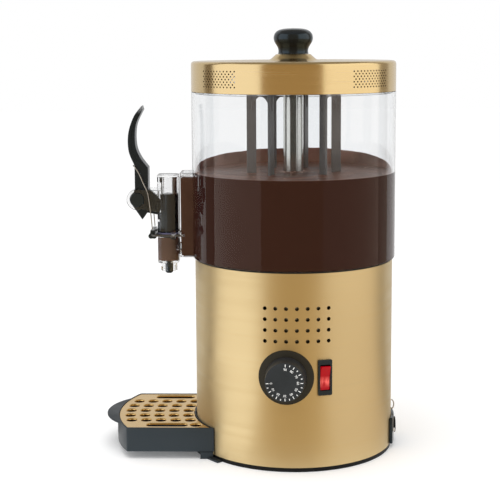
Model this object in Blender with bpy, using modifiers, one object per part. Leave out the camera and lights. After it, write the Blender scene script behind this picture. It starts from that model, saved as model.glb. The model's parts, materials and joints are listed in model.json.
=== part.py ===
"""Counter-top drinking-chocolate dispenser, modelled as the separate pieces it comes apart into.

Metres, +Z up. The origin is on the tank's axis at the counter, the tap and drip tray face -Y,
and the heat dial and power switch are on the +X side. Each named object is one physical piece.
"""

import math

import bmesh
import bpy
from mathutils import Euler, Vector

# Driving dimensions of the machine.
GAP = 0.0003                 # left between faces that touch
BODY_RADIUS = 0.1368
BODY_WALL = 0.0012
BODY_BOTTOM = 0.0058
BODY_TOP = 0.2650
TANK_RADIUS = 0.1400
TANK_WALL = 0.0035
TANK_BOTTOM = 0.2675
TANK_TOP = 0.4950
LID_TOP = 0.5360
KNOB_TOP = 0.5800
TAP_DISTANCE = 0.1738        # tank axis to the tap's bore
TAP_BOTTOM = 0.2576
TAP_TOP = 0.3805
LEVER_PIVOT = Vector((0.0, -0.2155, 0.3467))
DIAL_ANGLE = -4.4            # degrees round the body from +X, towards +Y
DIAL_HEIGHT = 0.1280
SWITCH_ANGLE = 17.0
SWITCH_HEIGHT = 0.1270
TRAY_TOP = 0.0437
TRAY_BOTTOM = 0.0102
TRAY_HALF_WIDTH = 0.0850
TRAY_FRONT = 0.2486          # tank axis to the front of the tray's wall
TRAY_FRONT_RADIUS = 0.1780
TRAY_BODY_CLEARANCE = 0.0010

# Derived dimensions.
BODY_INSIDE = BODY_RADIUS - BODY_WALL
TANK_INSIDE = TANK_RADIUS - TANK_WALL

# Facets of round pieces, by size.
LARGE = 48
MEDIUM = 24
FITTED = 16                  # a bore and what runs in it share their facets
SMALL = 12
TINY = 8

UPRIGHT = Euler((math.radians(90.0), 0.0, math.radians(90.0)))
MERGE = 0.00001

model = None
cutters = None


# ---------------------------------------------------------------- scene and materials

def clear_scene():
    """Remove the start-up objects and make the two collections."""
    global model, cutters
    for old in list(bpy.data.objects):
        bpy.data.objects.remove(old, do_unlink=True)
    model = bpy.data.collections.new("hot_drink_dispenser")
    cutters = bpy.data.collections.new("cutters")
    for group in (model, cutters):
        bpy.context.scene.collection.children.link(group)


def make_finish(name, colour, roughness, metallic=0.0, alpha=1.0):
    """A Principled material of one colour."""
    finish = bpy.data.materials.new(name)
    finish.use_nodes = True
    shader = finish.node_tree.nodes["Principled BSDF"]
    shader.inputs["Base Color"].default_value = (*colour, 1.0)
    shader.inputs["Roughness"].default_value = roughness
    shader.inputs["Metallic"].default_value = metallic
    shader.inputs["Alpha"].default_value = alpha
    return finish


def make_finishes():
    """The machine's materials, by slot name."""
    return {
        "gold_steel": make_finish("gold_steel", (0.60, 0.42, 0.22), 0.32, 1.0),
        "steel": make_finish("steel", (0.62, 0.61, 0.59), 0.30, 1.0),
        "clear_plastic": make_finish("clear_plastic", (0.92, 0.93, 0.93), 0.05, 0.0, 0.25),
        "black_plastic": make_finish("black_plastic", (0.02, 0.02, 0.022), 0.35),
        "tray_plastic": make_finish("tray_plastic", (0.035, 0.036, 0.040), 0.5),
        "grey_knob": make_finish("grey_knob", (0.09, 0.09, 0.09), 0.45),
        "red_lens": make_finish("red_lens", (0.75, 0.10, 0.04), 0.25),
        "rubber": make_finish("rubber", (0.05, 0.05, 0.05), 0.8),
        "stirrer_plastic": make_finish("stirrer_plastic", (0.20, 0.20, 0.20), 0.4),
        "seal_grey": make_finish("seal_grey", (0.22, 0.20, 0.30), 0.6),
        "motor_metal": make_finish("motor_metal", (0.30, 0.30, 0.31), 0.5, 1.0),
    }


# ---------------------------------------------------------------- shape helpers

def add_object(name, mesh, finish):
    """A model object for this mesh, with its material."""
    piece = bpy.data.objects.new(name, mesh)
    mesh.materials.append(finish)
    model.objects.link(piece)
    return piece


def add_axis(name, location, rotation=(0.0, 0.0, 0.0)):
    """An empty that moving or angled pieces are parented to."""
    axis = bpy.data.objects.new(name, None)
    axis.location = location
    axis.rotation_euler = rotation
    model.objects.link(axis)
    return axis


def turned(name, profile, finish, segments=MEDIUM):
    """Turn (radius, height) points about Z; the outer side runs top to bottom."""
    mesh = bpy.data.meshes.new(name)
    edges = [(i, i + 1) for i in range(len(profile) - 1)]
    if min(radius for radius, _ in profile) > 0.0:
        edges.append((len(profile) - 1, 0))
    mesh.from_pydata([(radius, 0.0, height) for radius, height in profile], edges, [])
    piece = add_object(name, mesh, finish)
    screw = piece.modifiers.new("turn", "SCREW")
    screw.steps = segments
    screw.render_steps = segments
    screw.use_merge_vertices = True
    screw.merge_threshold = MERGE
    return piece


def ring(name, outer, inner, bottom, top, finish, segments=MEDIUM):
    """A plain tube."""
    profile = [(outer, top), (outer, bottom), (inner, bottom), (inner, top)]
    return turned(name, profile, finish, segments)


def rod(name, radius, bottom, top, finish, segments=SMALL, top_radius=None):
    """An upright cylinder, or a cone when top_radius is given."""
    mesh = bpy.data.meshes.new(name)
    shape = bmesh.new()
    end = radius if top_radius is None else top_radius
    bmesh.ops.create_cone(
        shape, cap_ends=True, segments=segments, radius1=radius, radius2=end, depth=top - bottom
    )
    bmesh.ops.translate(shape, verts=shape.verts, vec=(0.0, 0.0, (top + bottom) / 2))
    shape.to_mesh(mesh)
    shape.free()
    return add_object(name, mesh, finish)


def hex_nut(name, across, bore, bottom, top, finish):
    """A hexagonal nut with a plain round bore."""
    nut = rod(name, across / math.sqrt(3.0), bottom, top, finish, 6)
    cut(nut, rod(f"{name}_bore", bore, bottom - 0.002, top + 0.002, finish, MEDIUM))
    return nut


def block(name, low, high, finish):
    """A box between two corners."""
    mesh = bpy.data.meshes.new(name)
    shape = bmesh.new()
    bmesh.ops.create_cube(shape, size=1.0)
    low = Vector(low)
    high = Vector(high)
    for vertex in shape.verts:
        vertex.co = (low + high) / 2 + vertex.co * (high - low)
    shape.to_mesh(mesh)
    shape.free()
    return add_object(name, mesh, finish)


def solid_mesh(name, curve_object):
    """The closed mesh of a curve object, which is removed."""
    depsgraph = bpy.context.evaluated_depsgraph_get()
    mesh = bpy.data.meshes.new_from_object(curve_object.evaluated_get(depsgraph))
    shape = bmesh.new()
    shape.from_mesh(mesh)
    bmesh.ops.remove_doubles(shape, verts=shape.verts, dist=MERGE)
    bmesh.ops.recalc_face_normals(shape, faces=shape.faces)
    shape.to_mesh(mesh)
    shape.free()
    mesh.name = name
    mesh.materials.clear()
    bpy.data.objects.remove(curve_object, do_unlink=True)
    return mesh


def curve_object(name, points, closed):
    """A poly curve through the points, in the model's collection."""
    curve = bpy.data.curves.new(name, "CURVE")
    spline = curve.splines.new("POLY")
    spline.points.add(len(points) - 1)
    for target, point in zip(spline.points, points):
        target.co = (*point, 1.0)
    spline.use_cyclic_u = closed
    holder = bpy.data.objects.new(name + "_curve", curve)
    model.objects.link(holder)
    return holder


def plate(name, outline, low, high, finish):
    """A flat outline in XY with its thickness from low to high along Z."""
    middle = (low + high) / 2
    holder = curve_object(name, [(x, y, 0.0) for x, y in outline], True)
    holder.data.dimensions = "2D"
    holder.data.fill_mode = "BOTH"
    holder.data.extrude = (high - low) / 2
    bpy.context.view_layer.update()
    mesh = solid_mesh(name, holder)
    for vertex in mesh.vertices:
        vertex.co.z += middle
    return add_object(name, mesh, finish)


def wire(name, points, radius, finish, sides=2):
    """A round wire through the points, with filled ends."""
    holder = curve_object(name, points, False)
    holder.data.dimensions = "3D"
    holder.data.bevel_depth = radius
    holder.data.bevel_resolution = sides
    holder.data.use_fill_caps = True
    bpy.context.view_layer.update()
    return add_object(name, solid_mesh(name, holder), finish)


def put(piece, axis):
    """Hang a piece, drawn in the axis's own frame, on that axis."""
    piece.parent = axis
    return piece


def boolean(piece, tool, operation):
    """One exact Boolean on the piece, with its tool hidden among the cutters."""
    if tool.name not in cutters.objects:
        model.objects.unlink(tool)
        cutters.objects.link(tool)
        tool.hide_render = True
        tool.display_type = "WIRE"
    step = piece.modifiers.new(operation.lower(), "BOOLEAN")
    step.operation = operation
    step.solver = "EXACT"
    step.object = tool


def cut(piece, *tools):
    """Take each tool's shape out of the piece."""
    for tool in tools:
        boolean(piece, tool, "DIFFERENCE")


def fuse(piece, *tools):
    """Make each tool's shape one body with the piece."""
    for tool in tools:
        boolean(piece, tool, "UNION")


def around(radius, degrees, height):
    """The point at this radius and angle from +X, at this height."""
    angle = math.radians(degrees)
    return Vector((radius * math.cos(angle), radius * math.sin(angle), height))


def facing(degrees):
    """Rotation that turns local Z outwards at this angle, with local Y up."""
    return Euler((math.radians(90.0), 0.0, math.radians(90.0 + degrees)))


def arc(centre, radius, start, end, steps):
    """Points on an arc, angles in degrees."""
    points = []
    for step in range(steps + 1):
        angle = math.radians(start + (end - start) * step / steps)
        points.append((centre[0] + radius * math.cos(angle), centre[1] + radius * math.sin(angle)))
    return points


def rounded_rectangle(width, depth, radius, centre=(0.0, 0.0), steps=4):
    """A rectangle's outline with round corners."""
    points = []
    for quarter, (sx, sy) in enumerate(((1, 1), (-1, 1), (-1, -1), (1, -1))):
        corner = (centre[0] + sx * (width / 2 - radius), centre[1] + sy * (depth / 2 - radius))
        points += arc(corner, radius, 90.0 * quarter, 90.0 * (quarter + 1), steps)
    return points


def smooth_path(points, steps):
    """A Catmull-Rom curve through the points, ends included."""
    padded = [points[0]] + list(points) + [points[-1]]
    path = []
    for index in range(1, len(padded) - 2):
        before, start, end, after = (Vector(p) for p in padded[index - 1:index + 3])
        for step in range(steps):
            t = step / steps
            path.append(tuple(
                0.5 * (2 * start + (end - before) * t
                       + (2 * before - 5 * start + 4 * end - after) * t ** 2
                       + (3 * start - before - 3 * end + after) * t ** 3)
            ))
    path.append(tuple(points[-1]))
    return path


# ---------------------------------------------------------------- base and body

PAD_RING = 0.1000
PAD_RADIUS = 0.0100
PAD_ANGLES = (45.0, 135.0, 225.0, 315.0)
PAD_TOP = 0.0055
BASE_FLOOR = 0.0020
SKIRT_WALL = 0.0015
SKIRT_TOP = 0.0130


def make_base(finishes):
    """The base pan, flat on the counter, and its four flush rubber pads."""
    edge = BODY_BOTTOM - GAP
    skirt = BODY_INSIDE - 2 * GAP
    band = BODY_RADIUS - 0.0004
    profile = [
        (0.0, BASE_FLOOR), (skirt - SKIRT_WALL, BASE_FLOOR), (skirt - SKIRT_WALL, SKIRT_TOP),
        (skirt, SKIRT_TOP),
        (skirt, edge), (band, edge), (band, 0.0), (0.0, 0.0),
    ]
    pan = turned("base_pan", profile, finishes["black_plastic"], LARGE)
    for number, degrees in enumerate(PAD_ANGLES, 1):
        centre = around(PAD_RING, degrees, 0.0)
        hole = rod(f"pad_hole_{number}", PAD_RADIUS + GAP, -0.001, 0.004, finishes["rubber"])
        hole.location = centre
        cut(pan, hole)
        head = PAD_RADIUS + 0.0025
        seat = BASE_FLOOR + GAP
        pad_profile = [
            (0.0, PAD_TOP), (head, PAD_TOP), (head, seat), (PAD_RADIUS, seat), (PAD_RADIUS, 0.0), (0.0, 0.0),
        ]
        pad = turned(f"foot_pad_{number}", pad_profile, finishes["rubber"], SMALL)
        pad.location = centre


VENT_RADIUS = 0.0026
VENT_FIRST = -16.1
VENT_PITCH = 5.89
VENT_COLUMNS = 7
VENT_TOP = 0.2190
VENT_ROW_PITCH = 0.01445
VENT_ROWS = 4
DIAL_HOLE = 0.0060
SWITCH_HOLE = (0.0078, 0.0215)   # half width and half height
CUT_DEPTH = 0.0100


def vent_cutter(finish):
    """One tool holding every vent of the body, so that one Boolean cuts them all."""
    mesh = bpy.data.meshes.new("body_vents")
    shape = bmesh.new()
    for column in range(VENT_COLUMNS):
        for row in range(VENT_ROWS):
            degrees = VENT_FIRST + VENT_PITCH * column
            place = around(BODY_RADIUS, degrees, VENT_TOP - VENT_ROW_PITCH * row)
            turn = facing(degrees).to_matrix().to_4x4()
            turn.translation = place
            bmesh.ops.create_cone(
                shape, cap_ends=True, segments=TINY, radius1=VENT_RADIUS, radius2=VENT_RADIUS,
                depth=0.012, matrix=turn,
            )
    shape.to_mesh(mesh)
    shape.free()
    return add_object("body_vents", mesh, finish)


COVER_WIDTH = 28.0           # degrees round the back
COVER_BOTTOM = 0.0060
COVER_TOP = 0.0430
COVER_DEPTH = 0.0045
INLET_RADIUS = 0.0080
INLET_HEIGHT = 0.0240
LEAD_RADIUS = 0.0040
GLAND_LIP = 0.0030
GLAND_PROUD = 0.0020
COVER_SCREW = 0.0032
HOOK_WIRE = 0.0008


def make_body(finishes):
    """The rolled steel casing with its vents and the holes for the controls and the lead."""
    gold = finishes["gold_steel"]
    shell = ring("body_shell", BODY_RADIUS, BODY_INSIDE, BODY_BOTTOM, BODY_TOP, gold, LARGE)
    cut(shell, vent_cutter(gold))
    dial_hole = rod("dial_hole", DIAL_HOLE, -CUT_DEPTH, CUT_DEPTH, gold)
    dial_hole.location = around(BODY_RADIUS, DIAL_ANGLE, DIAL_HEIGHT)
    dial_hole.rotation_euler = facing(DIAL_ANGLE)
    corner = Vector((*SWITCH_HOLE, CUT_DEPTH))
    switch_hole = block("switch_hole", -corner, corner, gold)
    switch_hole.location = around(BODY_RADIUS, SWITCH_ANGLE, SWITCH_HEIGHT)
    switch_hole.rotation_euler = facing(SWITCH_ANGLE)
    inlet_hole = rod("inlet_hole", INLET_RADIUS + GAP, -CUT_DEPTH, CUT_DEPTH, gold)
    inlet_hole.location = (0.0, BODY_RADIUS, INLET_HEIGHT)
    inlet_hole.rotation_euler = facing(90.0)
    cut(shell, dial_hole, switch_hole, inlet_hole)


def make_rear(finishes):
    """The curved cover at the foot of the back, its screws, the lead's gland and a hook."""
    outer = BODY_RADIUS + COVER_DEPTH
    inner = BODY_RADIUS + GAP
    start = 90.0 - COVER_WIDTH / 2
    end = 90.0 + COVER_WIDTH / 2
    outline = arc((0.0, 0.0), outer, start, end, 10) + arc((0.0, 0.0), inner, end, start, 10)
    cover = plate("rear_cover", outline, COVER_BOTTOM, COVER_TOP, finishes["black_plastic"])
    bore = rod("gland_bore", INLET_RADIUS + GAP, -CUT_DEPTH, CUT_DEPTH, finishes["rubber"])
    bore.location = (0.0, outer, INLET_HEIGHT)
    bore.rotation_euler = facing(90.0)
    cut(cover, bore)

    gland_axis = add_axis("gland_axis", (0.0, BODY_RADIUS, INLET_HEIGHT), facing(90.0))
    lip = INLET_RADIUS + GLAND_LIP
    face = COVER_DEPTH + GAP
    depth = -0.0060
    profile = [
        (lip, face + GLAND_PROUD), (lip, face), (INLET_RADIUS, face), (INLET_RADIUS, depth),
        (LEAD_RADIUS, depth), (LEAD_RADIUS, face + GLAND_PROUD),
    ]
    put(turned("cord_gland", profile, finishes["rubber"], SMALL), gland_axis)

    for number, side in enumerate((-1.0, 1.0), 1):
        degrees = 90.0 + side * (COVER_WIDTH / 2 - 3.5)
        place = around(outer + 2 * GAP, degrees, INLET_HEIGHT)
        axis = add_axis(f"cover_screw_axis_{number}", place, facing(degrees))
        head = rod(f"cover_screw_{number}", COVER_SCREW, 0.0, COVER_SCREW / 2, finishes["steel"], SMALL,
                   COVER_SCREW - 0.0010)
        slot = block(f"cover_slot_{number}", (-0.0004, -0.003, 0.0010), (0.0004, 0.003, 0.0030),
                     finishes["steel"])
        put(slot, axis)
        cut(put(head, axis), slot)

    hook_path = [
        (0.0, BODY_RADIUS + 0.0012, 0.0470), (0.0, BODY_RADIUS + 0.0022, 0.0466),
        (0.0, BODY_RADIUS + 0.0042, 0.0500), (0.0, BODY_RADIUS + 0.0046, 0.0545),
        (0.0, BODY_RADIUS + 0.0034, 0.0580), (0.0, BODY_RADIUS + 0.0012, 0.0600),
    ]
    wire("lead_hook", smooth_path(hook_path, 2), HOOK_WIRE, finishes["steel"], 1)


# ---------------------------------------------------------------- water bath and drive

PAN_FLOOR = 0.2360
COLUMN_RADIUS = 0.0138
COLUMN_INSIDE = 0.0118
SHAFT_RADIUS = 0.0040
BATH_FLOOR = 0.1500
BATH_SIDE = 0.1280
BATH_RIM = 0.2632
BATH_WELL = 0.0212
WELL_TOP = 0.2260
PAN_SIDE = 0.1240
PAN_RIM = 0.2647
PAN_SHEET = 0.0012
HEATER_RING = 0.0850
HEATER_WIRE = 0.00425
CUTOUT_RING = 0.0560
SEAL_REACH = 0.0080


def make_bath(finishes):
    """The water bath, the steel pan that closes the tank's foot, the heater and its cut-out."""
    steel = finishes["steel"]
    flange = BODY_INSIDE - 2 * GAP
    bath = [
        (flange, BATH_RIM), (flange, BATH_RIM - PAN_SHEET), (BATH_SIDE, BATH_RIM - PAN_SHEET),
        (BATH_SIDE, BATH_FLOOR), (BATH_WELL - PAN_SHEET, BATH_FLOOR), (BATH_WELL - PAN_SHEET, WELL_TOP),
        (BATH_WELL, WELL_TOP), (BATH_WELL, BATH_FLOOR + PAN_SHEET),
        (BATH_SIDE - PAN_SHEET, BATH_FLOOR + PAN_SHEET), (BATH_SIDE - PAN_SHEET, BATH_RIM),
    ]
    turned("bath_pan", bath, steel)

    hole = COLUMN_RADIUS + GAP
    foot = PAN_SIDE - 0.0060
    pan = [
        (flange, PAN_RIM), (flange, PAN_RIM - PAN_SHEET), (PAN_SIDE, PAN_RIM - PAN_SHEET),
        (foot, PAN_FLOOR), (hole, PAN_FLOOR), (hole, PAN_FLOOR + PAN_SHEET),
        (foot - 0.0005, PAN_FLOOR + PAN_SHEET), (PAN_SIDE - 0.0008, PAN_RIM),
    ]
    turned("product_pan", pan, steel)

    bpy.ops.mesh.primitive_torus_add(
        major_segments=32, minor_segments=6, major_radius=HEATER_RING, minor_radius=HEATER_WIRE,
        location=(0.0, 0.0, BATH_FLOOR - HEATER_WIRE - 2 * GAP),
    )
    heater = bpy.context.object
    heater.name = "heater_ring"
    heater.data.name = "heater_ring"
    heater.data.materials.append(steel)
    for group in list(heater.users_collection):
        group.objects.unlink(heater)
    model.objects.link(heater)

    cutout = [
        (0.0, BATH_FLOOR - GAP), (0.0120, BATH_FLOOR - GAP), (0.0120, 0.1410), (0.0080, 0.1410),
        (0.0080, 0.1350), (0.0, 0.1350),
    ]
    thermal = turned("safety_thermostat", cutout, finishes["black_plastic"], SMALL)
    thermal.location = around(CUTOUT_RING, 200.0, 0.0)

    seal_profile = [
        (BODY_RADIUS, TANK_BOTTOM - GAP), (BODY_RADIUS, BODY_TOP + GAP),
        (TANK_INSIDE - SEAL_REACH, BODY_TOP + GAP), (TANK_INSIDE - SEAL_REACH, TANK_BOTTOM - GAP),
    ]
    turned("tank_gasket", seal_profile, finishes["rubber"], LARGE)


BRACKET_PLATE = 0.0600
BRACKET_SHEET = 0.0030
BRACKET_FOOT = 0.0620
BRACKET_LEG = 0.0480
BRACKET_HALF_WIDTH = 0.0300
BRACKET_SCREW = 0.0042
MOTOR_RADIUS = 0.0280
GEARBOX_TOP = 0.0950
GEARBOX_BORE = 0.0063
COLUMN_BOTTOM = 0.2285
COLUMN_TOP = 0.4965
COLUMN_COLLAR = 0.0200


def make_drive(finishes):
    """The stirrer's gearmotor on its bracket, and the fixed column round the shaft."""
    steel = finishes["steel"]
    black = finishes["black_plastic"]
    foot = BRACKET_FOOT
    leg = BRACKET_LEG
    low = BASE_FLOOR + GAP
    outline = [
        (-foot, low), (-leg + BRACKET_SHEET, low), (-leg + BRACKET_SHEET, BRACKET_PLATE),
        (leg - BRACKET_SHEET, BRACKET_PLATE), (leg - BRACKET_SHEET, low), (foot, low),
        (foot, low + BRACKET_SHEET), (leg, low + BRACKET_SHEET), (leg, BRACKET_PLATE + BRACKET_SHEET),
        (-leg, BRACKET_PLATE + BRACKET_SHEET), (-leg, low + BRACKET_SHEET), (-foot, low + BRACKET_SHEET),
    ]
    bracket_axis = add_axis("bracket_axis", (0.0, 0.0, 0.0), UPRIGHT)
    bracket = put(plate("motor_bracket", outline, -BRACKET_HALF_WIDTH, BRACKET_HALF_WIDTH, steel),
                  bracket_axis)
    opening = rod("motor_opening", 0.0110, 0.050, 0.070, steel)
    cut(bracket, opening)

    corners = [(x, y) for x in (-0.022, 0.022) for y in (-1.0, 1.0)]
    for number, (x, side) in enumerate(corners, 1):
        y = side * (foot + leg) / 2
        seat = low + BRACKET_SHEET + GAP
        screw = rod(f"bracket_screw_{number}", BRACKET_SCREW, seat, seat + 0.0030, steel, 6)
        screw.location = (x, y, 0.0)

    motor_profile = [
        (0.0, BRACKET_PLATE - GAP), (MOTOR_RADIUS - 0.0015, BRACKET_PLATE - GAP), (MOTOR_RADIUS, 0.0570),
        (MOTOR_RADIUS, 0.0180), (MOTOR_RADIUS - 0.0040, 0.0140), (0.0080, 0.0140), (0.0080, 0.0110),
        (0.0, 0.0110),
    ]
    turned("stirrer_motor", motor_profile, finishes["motor_metal"], MEDIUM)

    box_bottom = BRACKET_PLATE + BRACKET_SHEET + GAP
    outline = rounded_rectangle(0.058, 0.072, 0.008, (0.0, 0.006))
    gearbox = plate("gearbox", outline, box_bottom, GEARBOX_TOP, black)
    fuse(gearbox, ring("gearbox_boss", 0.0110, GEARBOX_BORE, GEARBOX_TOP - 0.002, GEARBOX_TOP + 0.005,
                       black, SMALL))
    cut(gearbox, rod("gearbox_bore", GEARBOX_BORE, 0.080, GEARBOX_TOP + 0.010, black))

    seat = PAN_FLOOR + PAN_SHEET + GAP
    profile = [
        (COLUMN_RADIUS, COLUMN_TOP), (COLUMN_RADIUS, seat + 0.002), (COLUMN_COLLAR, seat + 0.002),
        (COLUMN_COLLAR, seat), (COLUMN_RADIUS, seat), (COLUMN_RADIUS, COLUMN_BOTTOM),
        (COLUMN_INSIDE, COLUMN_BOTTOM), (COLUMN_INSIDE, COLUMN_TOP),
    ]
    turned("column_tube", profile, steel, MEDIUM)
    hex_nut("column_nut", 0.0340, COLUMN_RADIUS + GAP, COLUMN_BOTTOM, PAN_FLOOR - GAP, steel)
    ring("column_bush", COLUMN_INSIDE - GAP, SHAFT_RADIUS + GAP, COLUMN_TOP - 0.0165, COLUMN_TOP,
         finishes["clear_plastic"], SMALL)

    block("terminal_block", (-0.060, 0.086, low), (-0.020, 0.104, 0.022), finishes["clear_plastic"])


# ---------------------------------------------------------------- controls on the side

BEZEL_RADIUS = 0.0365
BEZEL_HOLE = 0.0100
BEZEL_PROUD = 0.0009
DIAL_BASE = 0.0275
DIAL_FACE = 0.0255
DIAL_DEPTH = 0.0250
DIAL_STAND_OFF = 0.0012
DIAL_WEB = 0.0030
DIAL_BOSS = 0.0070
SPINDLE_RADIUS = 0.0030
SPINDLE_BORE = 0.0033


def make_dial(finishes):
    """The printed ring on the body, the thermostat behind it, and the knob on its spindle."""
    black = finishes["black_plastic"]
    centre = around(BODY_RADIUS, DIAL_ANGLE, DIAL_HEIGHT)
    frame = add_axis("thermostat_axis", centre, facing(DIAL_ANGLE))
    low = DIAL_HEIGHT - 1.3 * BEZEL_RADIUS
    high = DIAL_HEIGHT + 1.3 * BEZEL_RADIUS
    bezel = ring("dial_bezel", BODY_RADIUS + BEZEL_PROUD, BODY_RADIUS + GAP, low, high, black, 96)
    band = ring("bezel_outline", BEZEL_RADIUS, BEZEL_HOLE, -0.030, 0.020, black, MEDIUM)
    boolean(bezel, put(band, frame), "INTERSECT")

    body = block("thermostat", (-0.018, -0.018, -0.030), (0.018, 0.018, -0.0055), black)
    neck = rod("thermostat_neck", 0.0055, -0.0060, -0.0001, black)
    bore = rod("thermostat_bore", SPINDLE_BORE, -0.0200, 0.0050, black)
    fuse(put(body, frame), put(neck, frame))
    cut(body, put(bore, frame))

    spindle_axis = add_axis("dial_axis", centre, facing(DIAL_ANGLE))
    base = DIAL_STAND_OFF
    face = DIAL_STAND_OFF + DIAL_DEPTH
    profile = [
        (0.0, face), (DIAL_FACE - 0.0015, face), (DIAL_FACE, face - 0.0012), (DIAL_BASE, base),
        (DIAL_BASE - 0.0020, base), (DIAL_FACE - 0.0022, face - DIAL_WEB), (DIAL_BOSS, face - DIAL_WEB),
        (DIAL_BOSS, base + 0.0020), (SPINDLE_BORE, base + 0.0020), (SPINDLE_BORE, face - 2 * DIAL_WEB),
        (0.0, face - 2 * DIAL_WEB),
    ]
    put(turned("dial_knob", profile, finishes["grey_knob"], MEDIUM), spindle_axis)
    spindle_top = face - 2 * DIAL_WEB - 0.0005
    put(rod("dial_spindle", SPINDLE_RADIUS, -0.0180, spindle_top, finishes["steel"]), spindle_axis)


SWITCH_WIDTH = 0.0194
SWITCH_TALL = 0.0476
ROCKER_WIDTH = 0.0130
ROCKER_HALF = 0.0165
ROCKER_TILT = 10.0           # degrees either side of level
SWITCH_DEPTH = 0.0250
BARREL_HALF = (0.0074, 0.0210)
POCKET_HALF = (0.0069, 0.0173)
ROCKER_CROWN = 0.0012


def make_switch(finishes):
    """The power switch: a framed body through the casing, and its lit rocker."""
    black = finishes["black_plastic"]
    centre = around(BODY_RADIUS, SWITCH_ANGLE, SWITCH_HEIGHT)
    frame = add_axis("switch_frame_axis", centre, facing(SWITCH_ANGLE))
    outline = rounded_rectangle(SWITCH_WIDTH, SWITCH_TALL, 0.0015, steps=2)
    body = plate("switch_body", outline, GAP, 0.0026, black)
    wide, tall = BARREL_HALF
    barrel = block("switch_barrel", (-wide, -tall, -SWITCH_DEPTH), (wide, tall, 0.0010), black)
    wide, tall = POCKET_HALF
    pocket = block("switch_pocket", (-wide, -tall, -CUT_DEPTH), (wide, tall, CUT_DEPTH), black)
    fuse(put(body, frame), put(barrel, frame))
    cut(body, put(pocket, frame))

    # The rocker's section is in the local (along, out) plane of an axis that runs sideways.
    rocker_axis = add_axis("rocker_axis", centre, facing(SWITCH_ANGLE))
    tilt = math.radians(ROCKER_TILT)
    rise = ROCKER_HALF * math.tan(tilt)
    section = [
        (-ROCKER_HALF, ROCKER_CROWN + rise), (0.0, ROCKER_CROWN), (ROCKER_HALF, ROCKER_CROWN + rise),
        (ROCKER_HALF - 0.0010, -0.0010), (0.0040, -0.0050), (-0.0040, -0.0050),
        (-ROCKER_HALF + 0.0010, -0.0010),
    ]
    rocker = plate("switch_rocker", section, -ROCKER_WIDTH / 2, ROCKER_WIDTH / 2, finishes["red_lens"])
    for vertex in rocker.data.vertices:
        along, out, side = vertex.co
        up = along * math.cos(tilt) - out * math.sin(tilt)
        forward = along * math.sin(tilt) + out * math.cos(tilt)
        vertex.co = (side, up, forward)
    put(rocker, rocker_axis)


# ---------------------------------------------------------------- tank

DUCT_HALF_WIDTH = 0.0250
DUCT_FRONT = 0.1570
DUCT_TOP = 0.3840
DUCT_WALL = 0.0030
PORT_HEIGHT = 0.2795
PORT_RADIUS = 0.0075
FORK_HEIGHT = 0.2986
FORK_HALF_WIDTH = 0.0277
FORK_RADIUS = 0.0015
FORK_FRONT = 0.1947
LUG_HOLE = 0.0018
LUG_HALF_HEIGHT = 0.0040
DUCT_LUG = (-0.1560, -0.1500)    # from the front to the back
TAP_TAB = (-0.1680, -0.1620)
TAB_HALF_HEIGHT = 0.0050
PEG_HALF_WIDTH = 0.0195


def fork_hole(name, side, finish):
    """A tool for the hole that one prong of the retaining fork runs in."""
    hole = rod(name, LUG_HOLE, -0.010, 0.010, finish, TINY)
    hole.rotation_euler = (math.radians(90.0), 0.0, 0.0)
    hole.location = (side * FORK_HALF_WIDTH, 0.0, FORK_HEIGHT)
    return hole


def make_tank(finishes):
    """The clear tank with its outlet duct, the port to the tap and the fork's lugs."""
    clear = finishes["clear_plastic"]
    tank = ring("tank", TANK_RADIUS, TANK_INSIDE, TANK_BOTTOM, TANK_TOP, clear, LARGE)
    duct = block(
        "duct_outside", (-DUCT_HALF_WIDTH, -DUCT_FRONT, TANK_BOTTOM),
        (DUCT_HALF_WIDTH, -TANK_INSIDE - 0.0004, DUCT_TOP), clear,
    )
    hollow = block(
        "duct_hollow", (-DUCT_HALF_WIDTH + DUCT_WALL, -DUCT_FRONT + DUCT_WALL, TANK_BOTTOM + DUCT_WALL),
        (DUCT_HALF_WIDTH - DUCT_WALL, -0.1250, DUCT_TOP - DUCT_WALL), clear,
    )
    port = rod("duct_port", PORT_RADIUS, -0.010, 0.010, clear, SMALL)
    port.location = (0.0, -DUCT_FRONT, PORT_HEIGHT)
    port.rotation_euler = facing(-90.0)
    fuse(tank, duct)
    for number, side in enumerate((-1.0, 1.0), 1):
        near = side * (DUCT_HALF_WIDTH - 0.0010)
        far = side * (FORK_HALF_WIDTH + 0.0035)
        lug = block(
            f"duct_lug_{number}", (min(near, far), DUCT_LUG[0], FORK_HEIGHT - LUG_HALF_HEIGHT),
            (max(near, far), DUCT_LUG[1], FORK_HEIGHT + LUG_HALF_HEIGHT), clear,
        )
        hole = fork_hole(f"duct_lug_hole_{number}", side, clear)
        hole.location.y = sum(DUCT_LUG) / 2
        fuse(tank, lug)
        cut(tank, hole)
    cut(tank, hollow, port)


# ---------------------------------------------------------------- tap

TAP_WIDTH = 0.0310
TAP_DEPTH = 0.0290
TAP_BORE = 0.0112
TAP_FLOOR = 0.0030
NOZZLE_RADIUS = 0.0062
GUARD_BOTTOM = 0.2460
GUARD_OUTSIDE = 0.0120
GUARD_INSIDE = 0.0096
TAP_SLOT_HALF = 0.0056
TAP_SLOT_ENDS = (0.3180, 0.3700)
PIN_HEAD = 0.0098
PIN_HEAD_DEPTH = 0.0022
PEG_LOBE = 0.0036
EAR_RADIUS = 0.0145
EAR_INSIDE = 0.0130
EAR_OUTSIDE = 0.0165
PIN_RADIUS = 0.0030
PISTON_BOTTOM = 0.2930
PISTON_TOP = 0.3540
PISTON_RADIUS = 0.0106


def ear_outline():
    """The side view of a yoke ear about the pivot: round at the pin, wide at the barrel."""
    outline = arc((0.0, 0.0), EAR_RADIUS, 90.0, 290.0, 14)
    root = TAP_DEPTH / 2
    outline += [(0.0300, -0.0180), (0.0300 + root / 2, -0.0180), (0.0300 + root / 2, 0.0130)]
    outline += [(0.0275, 0.0130)]
    return outline


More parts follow.
